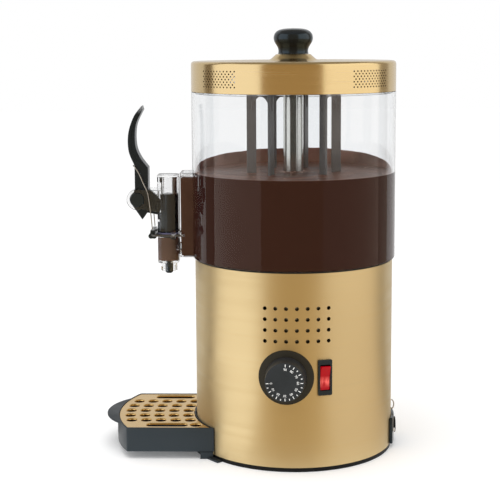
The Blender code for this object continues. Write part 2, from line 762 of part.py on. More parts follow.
def make_tap(finishes):
    """The clear tap: barrel, yoke ears, guard round the nozzle, seal, pivot pin and fork."""
    clear = finishes["clear_plastic"]
    black = finishes["black_plastic"]
    steel = finishes["steel"]
    outline = rounded_rectangle(TAP_WIDTH, TAP_DEPTH, 0.0060, (0.0, -TAP_DISTANCE), 3)
    body = plate("tap_body", outline, TAP_BOTTOM, TAP_TOP, clear)

    guard = ring("tap_guard", GUARD_OUTSIDE, GUARD_INSIDE, GUARD_BOTTOM, TAP_BOTTOM + 0.0008, clear,
                 FITTED)
    guard.location = (0.0, -TAP_DISTANCE, 0.0)
    fuse(body, guard)
    pivot = add_axis("yoke_axis", LEVER_PIVOT, UPRIGHT)
    for number, side in enumerate((-1.0, 1.0), 1):
        low, high = sorted((side * EAR_INSIDE, side * EAR_OUTSIDE))
        fuse(body, put(plate(f"yoke_ear_{number}", ear_outline(), low, high, clear), pivot))
        near, far = sorted((side * 0.0140, side * (FORK_HALF_WIDTH + 0.0030)))
        tab = block(
            f"tap_tab_{number}", (near, TAP_TAB[0], FORK_HEIGHT - TAB_HALF_HEIGHT),
            (far, TAP_TAB[1], FORK_HEIGHT + TAB_HALF_HEIGHT), clear,
        )
        fuse(body, tab)
        hole = fork_hole(f"tap_tab_hole_{number}", side, clear)
        hole.location.y = sum(TAP_TAB) / 2
        cut(body, hole)

    bore = rod("tap_bore", TAP_BORE, TAP_BOTTOM + TAP_FLOOR, TAP_TOP - 0.0030, clear, FITTED)
    nozzle = rod("tap_nozzle", NOZZLE_RADIUS, TAP_BOTTOM - 0.010, TAP_BOTTOM + 0.010, clear)
    for tool in (bore, nozzle):
        tool.location = (0.0, -TAP_DISTANCE, 0.0)
    port = rod("tap_port", PORT_RADIUS, 0.0, 0.012, clear)
    port.location = (0.0, -TAP_DISTANCE + 0.005, PORT_HEIGHT)
    port.rotation_euler = facing(90.0)
    slot = block(
        "tap_slot", (-TAP_SLOT_HALF, -0.1960, TAP_SLOT_ENDS[0]), (TAP_SLOT_HALF, -0.1760, TAP_SLOT_ENDS[1]),
        clear,
    )
    pin_hole = put(rod("pin_hole", PIN_RADIUS + GAP, -0.030, 0.030, clear), pivot)
    cut(body, bore, nozzle, port, slot, pin_hole)
    for number in range(3):
        notch = block(f"guard_notch_{number}", (-0.020, -0.0018, GUARD_BOTTOM - 0.002),
                      (0.020, 0.0018, GUARD_BOTTOM + 0.0060), clear)
        notch.location = (0.0, -TAP_DISTANCE, 0.0)
        notch.rotation_euler = (0.0, 0.0, math.radians(60.0 * number))
        cut(body, notch)

    seal_axis = add_axis("seal_axis", (0.0, -DUCT_FRONT, PORT_HEIGHT), facing(-90.0))
    put(ring("tap_seal", 0.0115, 0.0080, GAP, 0.0020, finishes["rubber"], SMALL), seal_axis)

    near = EAR_OUTSIDE + GAP
    far = near + PIN_HEAD_DEPTH
    crown = PIN_HEAD - 0.0020
    profile = [
        (0.0, far), (crown, far), (PIN_HEAD, near + 0.0010), (PIN_HEAD, near),
        (PIN_RADIUS, near), (PIN_RADIUS, -near), (PIN_HEAD, -near), (PIN_HEAD, -near - 0.0010),
        (crown, -far), (0.0, -far),
    ]
    put(turned("pivot_pin", profile, black, FITTED), pivot)

    back = -0.1510
    corner = 0.0060
    path = [(-FORK_HALF_WIDTH, back)]
    path += arc((-FORK_HALF_WIDTH + corner, -FORK_FRONT + corner), corner, 180.0, 270.0, 3)
    path += arc((FORK_HALF_WIDTH - corner, -FORK_FRONT + corner), corner, 270.0, 360.0, 3)
    path += [(FORK_HALF_WIDTH, back)]
    wire("retaining_fork", [(x, y, FORK_HEIGHT) for x, y in path], FORK_RADIUS, steel, 1)

    peg_axis = add_axis("peg_axis", (0.0, -FORK_FRONT, FORK_HEIGHT), UPRIGHT)
    outline = arc((-0.0022, -0.0022), PEG_LOBE, 110.0, 290.0, 6)
    outline += arc((0.0022, -0.0022), PEG_LOBE, 250.0, 430.0, 6)
    outline += [(0.0028, 0.0060), (-0.0028, 0.0060)]
    peg = put(plate("spring_peg", outline, -PEG_HALF_WIDTH, PEG_HALF_WIDTH, black), peg_axis)
    groove = wire("peg_groove", [(-0.040, -FORK_FRONT, FORK_HEIGHT), (0.040, -FORK_FRONT, FORK_HEIGHT)],
                  FORK_RADIUS + GAP, black, 1)
    cut(peg, groove)


PISTON_SEAL_HEIGHT = 0.2986
PISTON_GROOVE = 0.0016
STEM_RADIUS = 0.0030
STEM_BOTTOM = 0.2625
PLUG_RADIUS = 0.0056


def make_piston(finishes):
    """The black piston that the lever lifts, its seal, and the plug that shuts the nozzle."""
    axis = add_axis("piston_axis", (0.0, -TAP_DISTANCE, 0.0))
    upper = PISTON_SEAL_HEIGHT + PISTON_GROOVE
    lower = PISTON_SEAL_HEIGHT - PISTON_GROOVE
    waist = PISTON_RADIUS - PISTON_GROOVE
    profile = [
        (0.0, PISTON_TOP), (PISTON_RADIUS - 0.001, PISTON_TOP), (PISTON_RADIUS, PISTON_TOP - 0.001),
        (PISTON_RADIUS, upper), (waist, upper), (waist, lower), (PISTON_RADIUS, lower),
        (PISTON_RADIUS, PISTON_BOTTOM), (STEM_RADIUS, PISTON_BOTTOM), (STEM_RADIUS, STEM_BOTTOM),
        (0.0, STEM_BOTTOM),
    ]
    piston = put(turned("piston", profile, finishes["black_plastic"], FITTED), axis)
    slot = block("piston_slot", (-0.0048, -0.0140, 0.3150), (0.0048, -0.0015, 0.3480),
                 finishes["black_plastic"])
    cut(piston, put(slot, axis))

    lip = PISTON_RADIUS + 0.0003
    upper = PISTON_SEAL_HEIGHT + PISTON_GROOVE - GAP
    lower = PISTON_SEAL_HEIGHT - PISTON_GROOVE + GAP
    ring_profile = [
        (lip, PISTON_SEAL_HEIGHT + 0.0008), (lip, PISTON_SEAL_HEIGHT - 0.0008),
        (PISTON_RADIUS - 0.0004, lower), (waist + GAP, lower),
        (waist + GAP, upper), (PISTON_RADIUS - 0.0004, upper),
    ]
    put(turned("piston_seal", ring_profile, finishes["seal_grey"], FITTED), axis)

    top = STEM_BOTTOM - GAP
    profile = [
        (0.0, top), (PLUG_RADIUS, top), (PLUG_RADIUS, 0.2440), (PLUG_RADIUS - 0.0016, 0.2420), (0.0, 0.2420),
    ]
    put(turned("nozzle_plug", profile, finishes["black_plastic"], SMALL), axis)


LEVER_HALF_WIDTH = 0.0120
LEVER_HUB = 0.0108
ARM_HALF_WIDTH = 0.0040
NOSE_RADIUS = 0.0040
NOSE_CENTRE = (0.0330, -0.0077)


def lever_outline():
    """The lever's side view about its pivot: a curved handle, the hub and the pointed stop."""
    front = smooth_path(
        [(0.0075, 0.1290), (-0.0040, 0.1135), (-0.0115, 0.0905), (-0.0112, 0.0665), (-0.0035, 0.0470)], 4
    )
    back = smooth_path(
        [(0.0150, 0.0440), (0.0040, 0.0590), (-0.0018, 0.0760), (-0.0008, 0.1020), (0.0090, 0.1235)], 4
    )
    hub = arc((0.0, 0.0), LEVER_HUB, 120.0, 225.0, 8)
    return front + [(-0.0035, 0.0150)] + hub + [(0.0063, -0.0282), (0.0150, -0.0160), (0.0150, 0.0160)] + back


def make_lever(finishes):
    """The pull lever, turned about the pivot pin; its nose lifts the piston."""
    black = finishes["black_plastic"]
    axis = add_axis("lever_axis", LEVER_PIVOT, UPRIGHT)
    lever = plate("lever", lever_outline(), -LEVER_HALF_WIDTH, LEVER_HALF_WIDTH, black)
    put(lever, axis)
    outline = [(0.0100, -0.0190), (0.0265, -0.0222)]
    outline += arc(NOSE_CENTRE, NOSE_RADIUS, -70.0, 90.0, 6)
    outline += [(0.0265, 0.0043), (0.0130, 0.0155), (0.0100, 0.0120)]
    fuse(lever, put(plate("lever_arm", outline, -ARM_HALF_WIDTH, ARM_HALF_WIDTH, black), axis))
    hole = rod("lever_hole", PIN_RADIUS + GAP, -0.020, 0.020, black)
    notch = rod("lever_notch", 0.0016, -0.020, 0.020, black, TINY)
    notch.location = (-0.0048, 0.0467, 0.0)
    cut(lever, put(hole, axis), put(notch, axis))


SPRING_RADIUS = 0.00075
SPRING_BRIDGE = [(0.0075, -0.0049, 0.0467), (0.0130, -0.0049, 0.0467), (0.0168, -0.0022, 0.0450)]
SPRING_SIDE = [
    (0.0180, 0.0035, 0.0360), (0.0180, 0.0088, 0.0235), (0.0180, 0.0149, 0.0091),
    (0.0180, 0.0176, -0.0087), (0.0180, 0.0194, -0.0260), (0.0180, 0.0205, -0.0412),
]


def make_spring(finishes):
    """The hairpin spring: across the lever's front notch and down past both ears to the peg."""
    right = SPRING_BRIDGE + SPRING_SIDE
    left = [(-x, y, z) for x, y, z in reversed(right)]
    path = smooth_path(left + right, 2)
    place = [(x, LEVER_PIVOT.y + y, LEVER_PIVOT.z + z) for x, y, z in path]
    wire("lever_spring", place, SPRING_RADIUS, finishes["steel"], 1)


# ---------------------------------------------------------------- stirrer

FRAME_ANGLES = (-54.0, 66.0, 186.0)
FRAME_RADIUS = 0.0540
LEG_OFFSET = 0.0232
LEG_WIDTH = 0.0130
LEG_THICKNESS = 0.0040
LEG_TWIST = 60.0
LEG_BOTTOM = 0.2800
BRIDGE_BOTTOM = 0.4700
BRIDGE_SHEET = 0.0025
ARM_HALF = 0.0050
ARCH_HALF = 0.0202
ARCH_RISE = 0.0185
HUB_BOTTOM = 0.4990
HUB_RADIUS = 0.0130
HUB_TOP = 0.5120


def make_stirrer(finishes):
    """The stirrer: shaft, coupling, hub and three twisted portal frames."""
    steel = finishes["steel"]
    plastic = finishes["stirrer_plastic"]
    axis = add_axis("stirrer_axis", (0.0, 0.0, 0.0))
    shaft_bottom = GEARBOX_TOP - 0.0100
    put(rod("drive_shaft", SHAFT_RADIUS, shaft_bottom, 0.5190, steel), axis)
    put(ring("shaft_coupling", 0.0110, SHAFT_RADIUS + GAP, GEARBOX_TOP + 0.0060, 0.1250,
             finishes["black_plastic"], SMALL), axis)
    put(ring("stirrer_hub", HUB_RADIUS, SHAFT_RADIUS + GAP, HUB_BOTTOM, HUB_TOP, steel, FITTED), axis)
    put(hex_nut("hub_nut", 0.0130, SHAFT_RADIUS + GAP, HUB_TOP + GAP, HUB_TOP + 0.0060, steel), axis)

    bridge_top = HUB_BOTTOM + 0.0040
    half = LEG_OFFSET + LEG_WIDTH / 2 * math.cos(math.radians(LEG_TWIST))
    arch = [(ARCH_HALF * x, BRIDGE_BOTTOM + ARCH_RISE * y) for x, y in arc((0.0, 0.0), 1.0, 0.0, 180.0, 10)]
    outline = [(-half, BRIDGE_BOTTOM), (-half, bridge_top), (half, bridge_top), (half, BRIDGE_BOTTOM)]
    for number, degrees in enumerate(FRAME_ANGLES, 1):
        frame_axis = add_axis(f"frame_axis_{number}", (0.0, 0.0, 0.0), (0.0, 0.0, math.radians(degrees)))
        frame_axis.parent = axis
        arm = block(
            f"stirrer_frame_{number}", (HUB_RADIUS + GAP, -ARM_HALF, HUB_BOTTOM),
            (FRAME_RADIUS, ARM_HALF, bridge_top), plastic,
        )
        put(arm, frame_axis)
        upright = add_axis(f"bridge_axis_{number}", (FRAME_RADIUS, 0.0, 0.0), UPRIGHT)
        upright.parent = frame_axis
        bridge = plate(f"bridge_{number}", outline + arch, -BRIDGE_SHEET / 2, BRIDGE_SHEET / 2, plastic)
        fuse(arm, put(bridge, upright))
        for name, side in (("left", -1.0), ("right", 1.0)):
            leg = block(
                f"leg_{name}_{number}", (-LEG_THICKNESS / 2, -LEG_WIDTH / 2, LEG_BOTTOM),
                (LEG_THICKNESS / 2, LEG_WIDTH / 2, bridge_top - 0.0005), plastic,
            )
            leg.location = (FRAME_RADIUS, side * LEG_OFFSET, 0.0)
            leg.rotation_euler = (0.0, 0.0, -side * math.radians(LEG_TWIST))
            fuse(arm, put(leg, frame_axis))


# ---------------------------------------------------------------- lid

LID_WALL = 0.0012
LID_ROUND = 0.0045
LID_LIP = 0.0030
BOSS_HEIGHT = 0.0090
BOSS_TOP_RADIUS = 0.0235
BOSS_FOOT_RADIUS = 0.0335
KNOB_HOLE = 0.0032
SCREW_HOLE = 0.0028
SCREW_REACH = 0.0160
LID_SLOT_ANGLES = (-45.4, 42.7, 134.6, 222.7)
LID_SLOT_ROWS = (0.5055, 0.5130, 0.5205)


def make_lid(finishes):
    """The lift-off lid: shell with vents, locating lip, knob and its screw."""
    gold = finishes["gold_steel"]
    axis = add_axis("lid_axis", (0.0, 0.0, 0.0))
    bottom = TANK_TOP + GAP
    top = LID_TOP + BOSS_HEIGHT
    side = TANK_RADIUS - LID_ROUND
    outside = [(KNOB_HOLE, top), (BOSS_TOP_RADIUS, top), (BOSS_FOOT_RADIUS, LID_TOP)]
    outside += reversed(arc((side, LID_TOP - LID_ROUND), LID_ROUND, 0.0, 90.0, 2))
    outside += [(TANK_RADIUS, bottom)]
    inside = [
        (TANK_RADIUS - LID_WALL, bottom), (TANK_RADIUS - LID_WALL, LID_TOP - LID_ROUND),
        (side, LID_TOP - LID_WALL), (BOSS_FOOT_RADIUS - 0.0005, LID_TOP - LID_WALL),
        (BOSS_TOP_RADIUS - 0.0005, top - LID_WALL), (KNOB_HOLE, top - LID_WALL),
    ]
    shell = put(turned("lid_shell", outside + inside, gold, LARGE), axis)
    for patch, middle in enumerate(LID_SLOT_ANGLES, 1):
        for row, height in enumerate(LID_SLOT_ROWS, 1):
            corner = Vector((0.0280, 0.0014, 0.0100))
            slot = block(f"lid_slot_{patch}_{row}", -corner, corner, gold)
            slot.location = around(TANK_RADIUS, middle, height)
            slot.rotation_euler = facing(middle)
            cut(shell, put(slot, axis))

    seat = TANK_RADIUS - LID_WALL - GAP
    lip = TANK_INSIDE - 0.0008
    profile = [
        (seat, bottom + 0.0016), (seat, bottom), (lip, bottom), (lip, bottom - LID_LIP),
        (lip - 0.0012, bottom - LID_LIP), (lip - 0.0012, bottom + 0.0016),
    ]
    put(turned("lid_lip", profile, finishes["clear_plastic"], LARGE), axis)

    foot = top + GAP
    knob = [
        (0.0, KNOB_TOP), (0.0150, KNOB_TOP - 0.0010), (0.0225, KNOB_TOP - 0.0040),
        (0.0260, KNOB_TOP - 0.0085), (0.0268, KNOB_TOP - 0.0130), (0.0258, KNOB_TOP - 0.0180),
        (0.0232, KNOB_TOP - 0.0225), (0.0210, KNOB_TOP - 0.0265), (0.0203, KNOB_TOP - 0.0305),
        (0.0208, foot), (SCREW_HOLE, foot), (SCREW_HOLE, foot + SCREW_REACH), (0.0, foot + SCREW_REACH),
    ]
    put(turned("lid_knob", knob, finishes["black_plastic"], MEDIUM), axis)
    head = top - LID_WALL - GAP
    screw = [
        (0.0, foot + SCREW_REACH - 0.0005), (0.0025, foot + SCREW_REACH - 0.0005), (0.0025, head),
        (0.0060, head), (0.0060, head - 0.0030), (0.0, head - 0.0030),
    ]
    put(turned("knob_screw", screw, finishes["steel"], SMALL), axis)


# ---------------------------------------------------------------- drip tray

GRILLE_THICKNESS = 0.0014
GRILLE_RECESS = 0.0006
RIM = 0.0020
DRAIN_RADIUS = 0.0070
DRAIN_ARCS = (0.2305, 0.2103, 0.1900, 0.1695, 0.1490)
DRAIN_ROWS = (-0.0460, -0.0235, 0.0, 0.0235, 0.0460)
SLOT_ROW = 0.0685
SLOT_CENTRE = -0.1735
SLOT_LENGTH = 0.0560
SLOT_DRAIN = -0.1340
TRAY_WALL = 0.0026
TRAY_NECK = 0.0050
TONGUE_HALF = 0.0600
TONGUE_ROOT = 0.0450
TONGUE_APEX = 0.2640
TONGUE_RADIUS = 0.0810
TONGUE_SHEET = 0.0030
FIN_SHEET = 0.0030
FIN_BACK = -0.1270
STRIP_WIDTH = 0.0080
STRIP_TOP = 0.0028
STRIP_SWEEP = 45.0           # degrees either side of the front
OUTLINE_STEPS = 12


def tray_front(x, distance, radius):
    """The Y of the tray's curved front at x, where the arc's apex is this far from the tank."""
    return -(distance - radius + math.sqrt(radius ** 2 - x ** 2))


def tray_outline(inset):
    """The tray's plan, moved inwards: a curved front, straight sides and a back round the body."""
    half = TRAY_HALF_WIDTH - inset
    back = BODY_RADIUS + TRAY_BODY_CLEARANCE + inset
    span = [half * (2 * k / OUTLINE_STEPS - 1) for k in range(OUTLINE_STEPS + 1)]
    front = [(x, tray_front(x, TRAY_FRONT - inset, TRAY_FRONT_RADIUS)) for x in span]
    rear = [(x, -math.sqrt(back ** 2 - x ** 2)) for x in reversed(span)]
    return front + rear


def make_tray(finishes):
    """The drip tray with its pull tongue, and the bracket it rests on."""
    black = finishes["tray_plastic"]
    axis = add_axis("tray_axis", (0.0, 0.0, 0.0))
    tray = put(plate("drip_tray", tray_outline(0.0), TRAY_BOTTOM, TRAY_TOP, black), axis)
    ledge = TRAY_TOP - GRILLE_RECESS - GRILLE_THICKNESS - GAP
    tongue = []
    for step in range(OUTLINE_STEPS + 1):
        x = TONGUE_HALF * (2 * step / OUTLINE_STEPS - 1)
        tongue.append((x, tray_front(x, TONGUE_APEX, TONGUE_RADIUS)))
    tongue += [(TONGUE_ROOT, -0.2400), (-TONGUE_ROOT, -0.2400)]
    fuse(tray, put(plate("tray_tongue", tongue, TRAY_TOP - TONGUE_SHEET, TRAY_TOP, black), axis))
    floor = TRAY_BOTTOM + TRAY_WALL
    recess = plate("tray_recess", tray_outline(RIM), ledge, TRAY_TOP + 0.010, black)
    neck = plate("tray_neck", tray_outline(TRAY_NECK), ledge - 0.0060, TRAY_TOP, black)
    basin = plate("tray_basin", tray_outline(TRAY_WALL), floor, ledge - 0.0050, black)
    cut(tray, put(recess, axis), put(neck, axis), put(basin, axis))

    outer = TRAY_HALF_WIDTH + 0.0005
    inside = BODY_RADIUS + GAP
    strip = arc((0.0, 0.0), inside + STRIP_WIDTH, 270.0 - STRIP_SWEEP, 270.0 + STRIP_SWEEP, 16)
    strip += arc((0.0, 0.0), inside, 270.0 + STRIP_SWEEP, 270.0 - STRIP_SWEEP, 16)
    bracket = plate("tray_bracket", strip, GAP, STRIP_TOP, black)
    for number, side in enumerate((-1.0, 1.0), 1):
        low, high = sorted((side * (outer - FIN_SHEET), side * outer))
        back_y = -math.sqrt(inside ** 2 - (outer - FIN_SHEET) ** 2) - GAP
        post = block(f"bracket_fin_{number}", (low, FIN_BACK, GAP), (high, back_y, TRAY_BOTTOM - GAP), black)
        fuse(bracket, post)


def make_grille(finishes):
    """The gold drip grille, lifted off the tray's ledge."""
    gold = finishes["gold_steel"]
    axis = add_axis("grille_axis", (0.0, 0.0, 0.0))
    top = TRAY_TOP - GRILLE_RECESS
    grille = put(plate("drip_grille", tray_outline(RIM + 0.0006), top - GRILLE_THICKNESS, top, gold), axis)
    mesh = bpy.data.meshes.new("drain_holes")
    shape = bmesh.new()
    places = []
    for apex in DRAIN_ARCS:
        for x in DRAIN_ROWS:
            places.append((x, tray_front(x, apex, TRAY_FRONT_RADIUS)))
    for side in (-1.0, 1.0):
        places.append((side * SLOT_ROW, SLOT_DRAIN))
    for x, y in places:
        ends = bmesh.ops.create_cone(
            shape, cap_ends=True, segments=10, radius1=DRAIN_RADIUS, radius2=DRAIN_RADIUS, depth=0.010
        )
        bmesh.ops.translate(shape, verts=ends["verts"], vec=(x, y, top))
    shape.to_mesh(mesh)
    shape.free()
    cut(grille, put(add_object("drain_holes", mesh, gold), axis))
    for number, side in enumerate((-1.0, 1.0), 1):
        outline = rounded_rectangle(2 * DRAIN_RADIUS, SLOT_LENGTH, DRAIN_RADIUS - 0.0001,
                                    (side * SLOT_ROW, SLOT_CENTRE), 5)
        cut(grille, put(plate(f"drain_slot_{number}", outline, top - 0.005, top + 0.005, gold), axis))


def main():
    """Build the whole machine."""
    clear_scene()
    finishes = make_finishes()
    make_base(finishes)
    make_body(finishes)
    make_rear(finishes)
    make_bath(finishes)
    make_drive(finishes)
    make_dial(finishes)
    make_switch(finishes)
    make_tank(finishes)
    make_tap(finishes)
    make_piston(finishes)
    make_lever(finishes)
    make_spring(finishes)
    make_stirrer(finishes)
    make_lid(finishes)
    make_tray(finishes)
    make_grille(finishes)


main()
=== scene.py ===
"""Looks of the hot drink dispenser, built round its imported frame.

Metres, +Z up, with the tank's axis at the origin. The tap and tray face -Y and the controls +X.
"""

import json
import math
import random

import bmesh
import bpy
from mathutils import Matrix, Vector, noise


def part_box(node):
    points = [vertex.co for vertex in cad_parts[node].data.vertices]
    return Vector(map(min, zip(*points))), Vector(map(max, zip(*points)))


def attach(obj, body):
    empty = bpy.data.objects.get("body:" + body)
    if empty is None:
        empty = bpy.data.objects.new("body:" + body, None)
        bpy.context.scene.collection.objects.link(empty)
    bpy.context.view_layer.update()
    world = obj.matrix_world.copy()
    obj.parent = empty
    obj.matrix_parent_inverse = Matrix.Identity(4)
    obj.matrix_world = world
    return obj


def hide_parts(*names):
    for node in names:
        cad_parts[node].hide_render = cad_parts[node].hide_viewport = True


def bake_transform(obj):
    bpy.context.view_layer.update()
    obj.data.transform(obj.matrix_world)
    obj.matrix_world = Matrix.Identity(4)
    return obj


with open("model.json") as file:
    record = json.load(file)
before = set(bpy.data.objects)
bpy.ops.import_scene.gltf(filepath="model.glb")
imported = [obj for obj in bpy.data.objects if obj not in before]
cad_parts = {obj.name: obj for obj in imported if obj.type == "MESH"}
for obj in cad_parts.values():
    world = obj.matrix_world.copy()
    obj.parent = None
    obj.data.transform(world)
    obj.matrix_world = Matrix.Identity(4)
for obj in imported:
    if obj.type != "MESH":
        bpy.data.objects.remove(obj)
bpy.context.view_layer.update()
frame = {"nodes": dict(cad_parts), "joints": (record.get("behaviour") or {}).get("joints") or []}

# ---------------------------------------------------------------- sizes read from the frame


def low(node):
    """A node's lowest corner."""
    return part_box(node)[0]


def high(node):
    """A node's highest corner."""
    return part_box(node)[1]


joints = {joint["name"]: joint for joint in frame["joints"]}

BODY_RADIUS = high("body_shell").x
BODY_BOTTOM = low("body_shell").z
BODY_TOP = high("body_shell").z
SHEET = 0.0012
TANK_RADIUS = high("tank").x
TANK_WALL = 0.0035
TANK_INSIDE = TANK_RADIUS - TANK_WALL
TANK_BOTTOM = low("tank").z
TANK_TOP = high("tank").z
LID_BOTTOM = low("lid_shell").z
BOSS_TOP = high("lid_shell").z
BOSS_HEIGHT = 0.0090
LID_TOP = BOSS_TOP - BOSS_HEIGHT
KNOB_TOP = high("lid_knob").z
KNOB_FOOT = low("lid_knob").z
COLUMN_RADIUS = 0.0138
PIVOT = Vector(joints["lever_pull"]["pos_m"])
TAP_Y = (low("piston").y + high("piston").y) / 2
TAP_BOTTOM = 0.2576
TAP_TOP = high("tap_body").z
DUCT_FRONT = low("tank").y
DUCT_HALF = 0.0250
DUCT_TOP = 0.3840
DUCT_WALL = 0.0030
PORT_HEIGHT = (low("tap_seal").z + high("tap_seal").z) / 2
FORK_HEIGHT = (low("retaining_fork").z + high("retaining_fork").z) / 2
TRAY_TOP = high("drip_tray").z
TRAY_BOTTOM = low("drip_tray").z
TRAY_HALF = high("drip_tray").x
TRAY_FRONT = 0.2486
TRAY_FRONT_RADIUS = 0.1780
GRILLE_TOP = high("drip_grille").z
DRINK_TOP = 0.3840
PISTON_BOTTOM = 0.2930
GAP = 0.0003

DIAL_PLACE = Vector(joints["dial_turn"]["pos_m"])
DIAL_ANGLE = math.degrees(math.atan2(DIAL_PLACE.y, DIAL_PLACE.x))
SWITCH_PLACE = Vector(joints["switch_rock"]["pos_m"])
SWITCH_ANGLE = math.degrees(math.atan2(SWITCH_PLACE.y, SWITCH_PLACE.x))

# Outlines drawn in a side view: local X runs along +Y, local Y up, and local Z along +X.
SIDE_VIEW = Matrix(((0, 0, 1, 0), (1, 0, 0, 0), (0, 1, 0, 0), (0, 0, 0, 1)))


def side_view(place):
    """The side view's axes at this place."""
    return Matrix.Translation(place) @ SIDE_VIEW


def facing(degrees, place):
    """Axes at a place on the body: X runs round it, Y up and Z outwards at this angle from +X."""
    angle = math.radians(degrees)
    out = Vector((math.cos(angle), math.sin(angle), 0.0))
    up = Vector((0.0, 0.0, 1.0))
    turn = Matrix((up.cross(out), up, out)).transposed().to_4x4()
    return Matrix.Translation(place) @ turn


def around(radius, degrees, height):
    """The point at this radius, angle from +X and height."""
    angle = math.radians(degrees)
    return Vector((radius * math.cos(angle), radius * math.sin(angle), height))


# ---------------------------------------------------------------- outlines

def arc(centre, radius, start, end, steps):
    """Points on an arc, angles in degrees."""
    return [
        (centre[0] + radius * math.cos(math.radians(start + (end - start) * k / steps)),
         centre[1] + radius * math.sin(math.radians(start + (end - start) * k / steps)))
        for k in range(steps + 1)
    ]


def rounded(points, radius, closed=True, steps=4):
    """The line with its corners turned into arcs; radius is one number, or one for each point."""
    result = []
    count = len(points)
    for index, point in enumerate(points):
        corner = Vector(point)
        size = radius[index] if isinstance(radius, (list, tuple)) else radius
        inner = closed or 0 < index < count - 1
        before = Vector(points[index - 1]) - corner
        after = Vector(points[(index + 1) % count]) - corner
        if not inner or size <= 0.0 or math.pi - before.angle(after) < 0.08:
            result.append(tuple(corner))
            continue
        slope = math.tan((math.pi - before.angle(after)) / 2)
        reach = min(size * slope, 0.48 * before.length, 0.48 * after.length)
        size = reach / slope
        middle = corner + (before.normalized() + after.normalized()).normalized() * math.hypot(size, reach)
        first = corner + before.normalized() * reach - middle
        last = corner + after.normalized() * reach - middle
        start = math.atan2(first.y, first.x)
        sweep = (math.atan2(last.y, last.x) - start + math.pi) % (2 * math.pi) - math.pi
        for step in range(steps + 1):
            angle = start + sweep * step / steps
            result.append((middle.x + size * math.cos(angle), middle.y + size * math.sin(angle)))
    return result


def rectangle(width, height, radius, centre=(0.0, 0.0), steps=6):
    """A rectangle with round corners."""
    x, y = centre
    half, tall = width / 2, height / 2
    corners = [(x - half, y - tall), (x + half, y - tall), (x + half, y + tall), (x - half, y + tall)]
    return rounded(corners, radius, steps=steps)


def smooth_path(points, steps):
    """A Catmull-Rom curve through the points, ends included."""
    padded = [points[0]] + list(points) + [points[-1]]
    path = []
    for index in range(1, len(padded) - 2):
        before, start, end, after = (Vector(p) for p in padded[index - 1:index + 3])
        for step in range(steps):
            t = step / steps
            path.append(tuple(
                0.5 * (2 * start + (end - before) * t
                       + (2 * before - 5 * start + 4 * end - after) * t ** 2
                       + (3 * start - before - 3 * end + after) * t ** 3)
            ))
    path.append(tuple(points[-1]))
    return path


# ---------------------------------------------------------------- shapes

def new_object(name, data):
    """An object of the scene that holds this data."""
    item = bpy.data.objects.new(name, data)
    bpy.context.scene.collection.objects.link(item)
    return item


def from_bmesh(name, shape, matrix=None):
    """An object holding this shape, moved by the matrix."""
    mesh = bpy.data.meshes.new(name)
    shape.to_mesh(mesh)
    shape.free()
    if matrix is not None:
        mesh.transform(matrix)
    return new_object(name, mesh)


def turned(name, profile, segments=96, matrix=None, shift=None):
    """Turn (radius, height) points about Z; shift gives each point's rise from radius, angle, height."""
    shape = bmesh.new()
    rings = []
    for radius, height in profile:
        row = []
        for k in range(segments if radius > 1e-6 else 1):
            angle = 2 * math.pi * k / segments
            rise = shift(radius, angle, height) if shift else 0.0
            row.append(shape.verts.new((radius * math.cos(angle), radius * math.sin(angle), height + rise)))
        rings.append(row)
    pairs = list(zip(rings, rings[1:]))
    if min(radius for radius, _ in profile) > 1e-6:
        pairs.append((rings[-1], rings[0]))
    for first, second in pairs:
        for k in range(segments):
            after = k + 1
            corners = [first[k % len(first)], first[after % len(first)],
                       second[after % len(second)], second[k % len(second)]]
            corners = list(dict.fromkeys(corners))
            if len(corners) > 2:
                shape.faces.new(corners)
    bmesh.ops.recalc_face_normals(shape, faces=shape.faces)
    return from_bmesh(name, shape, matrix)


def ring(name, outer, inner, bottom, top, edge=0.0, segments=96, matrix=None):
    """A tube with rounded rims."""
    corners = [(outer, top), (outer, bottom), (inner, bottom), (inner, top)]
    return turned(name, rounded(corners, edge, steps=3) if edge else corners, segments, matrix)


def rod(name, radius, bottom, top, edge=0.0, segments=48, matrix=None):
    """A cylinder with rounded ends."""
    corners = [(0.0, top), (radius, top), (radius, bottom), (0.0, bottom)]
    profile = rounded(corners, edge, closed=False, steps=3) if edge else corners
    return turned(name, profile, segments, matrix)


def disc(name, radius, segments, height=0.0):
    """A flat round sheet."""
    shape = bmesh.new()
    bmesh.ops.create_circle(shape, cap_ends=True, segments=segments, radius=radius)
    bmesh.ops.translate(shape, verts=shape.verts, vec=(0.0, 0.0, height))
    return from_bmesh(name, shape)


def plate(name, outline, bottom, top, edge=0.0, matrix=None):
    """A flat outline in XY given thickness along Z, with rounded rims."""
    shape = bmesh.new()
    base = shape.faces.new([shape.verts.new((x, y, bottom)) for x, y in outline])
    made = bmesh.ops.extrude_face_region(shape, geom=[base])["geom"]
    raised = [item for item in made if isinstance(item, bmesh.types.BMVert)]
    bmesh.ops.translate(shape, verts=raised, vec=(0.0, 0.0, top - bottom))
    bmesh.ops.recalc_face_normals(shape, faces=shape.faces)
    if edge:
        rims = [e for e in shape.edges if abs(e.verts[0].co.z - e.verts[1].co.z) < 1e-7]
        bmesh.ops.bevel(shape, geom=rims, offset=edge, segments=3, profile=0.5, affect="EDGES")
    return from_bmesh(name, shape, matrix)


def block(name, first, second, edge=0.0, matrix=None):
    """A box between two corners with all its edges rounded."""
    shape = bmesh.new()
    bmesh.ops.create_cube(shape, size=1.0)
    first, second = Vector(first), Vector(second)
    for vertex in shape.verts:
        vertex.co = (first + second) / 2 + vertex.co * (second - first)
    if edge:
        bmesh.ops.bevel(shape, geom=shape.edges[:], offset=edge, segments=3, profile=0.5, affect="EDGES")
    return from_bmesh(name, shape, matrix)


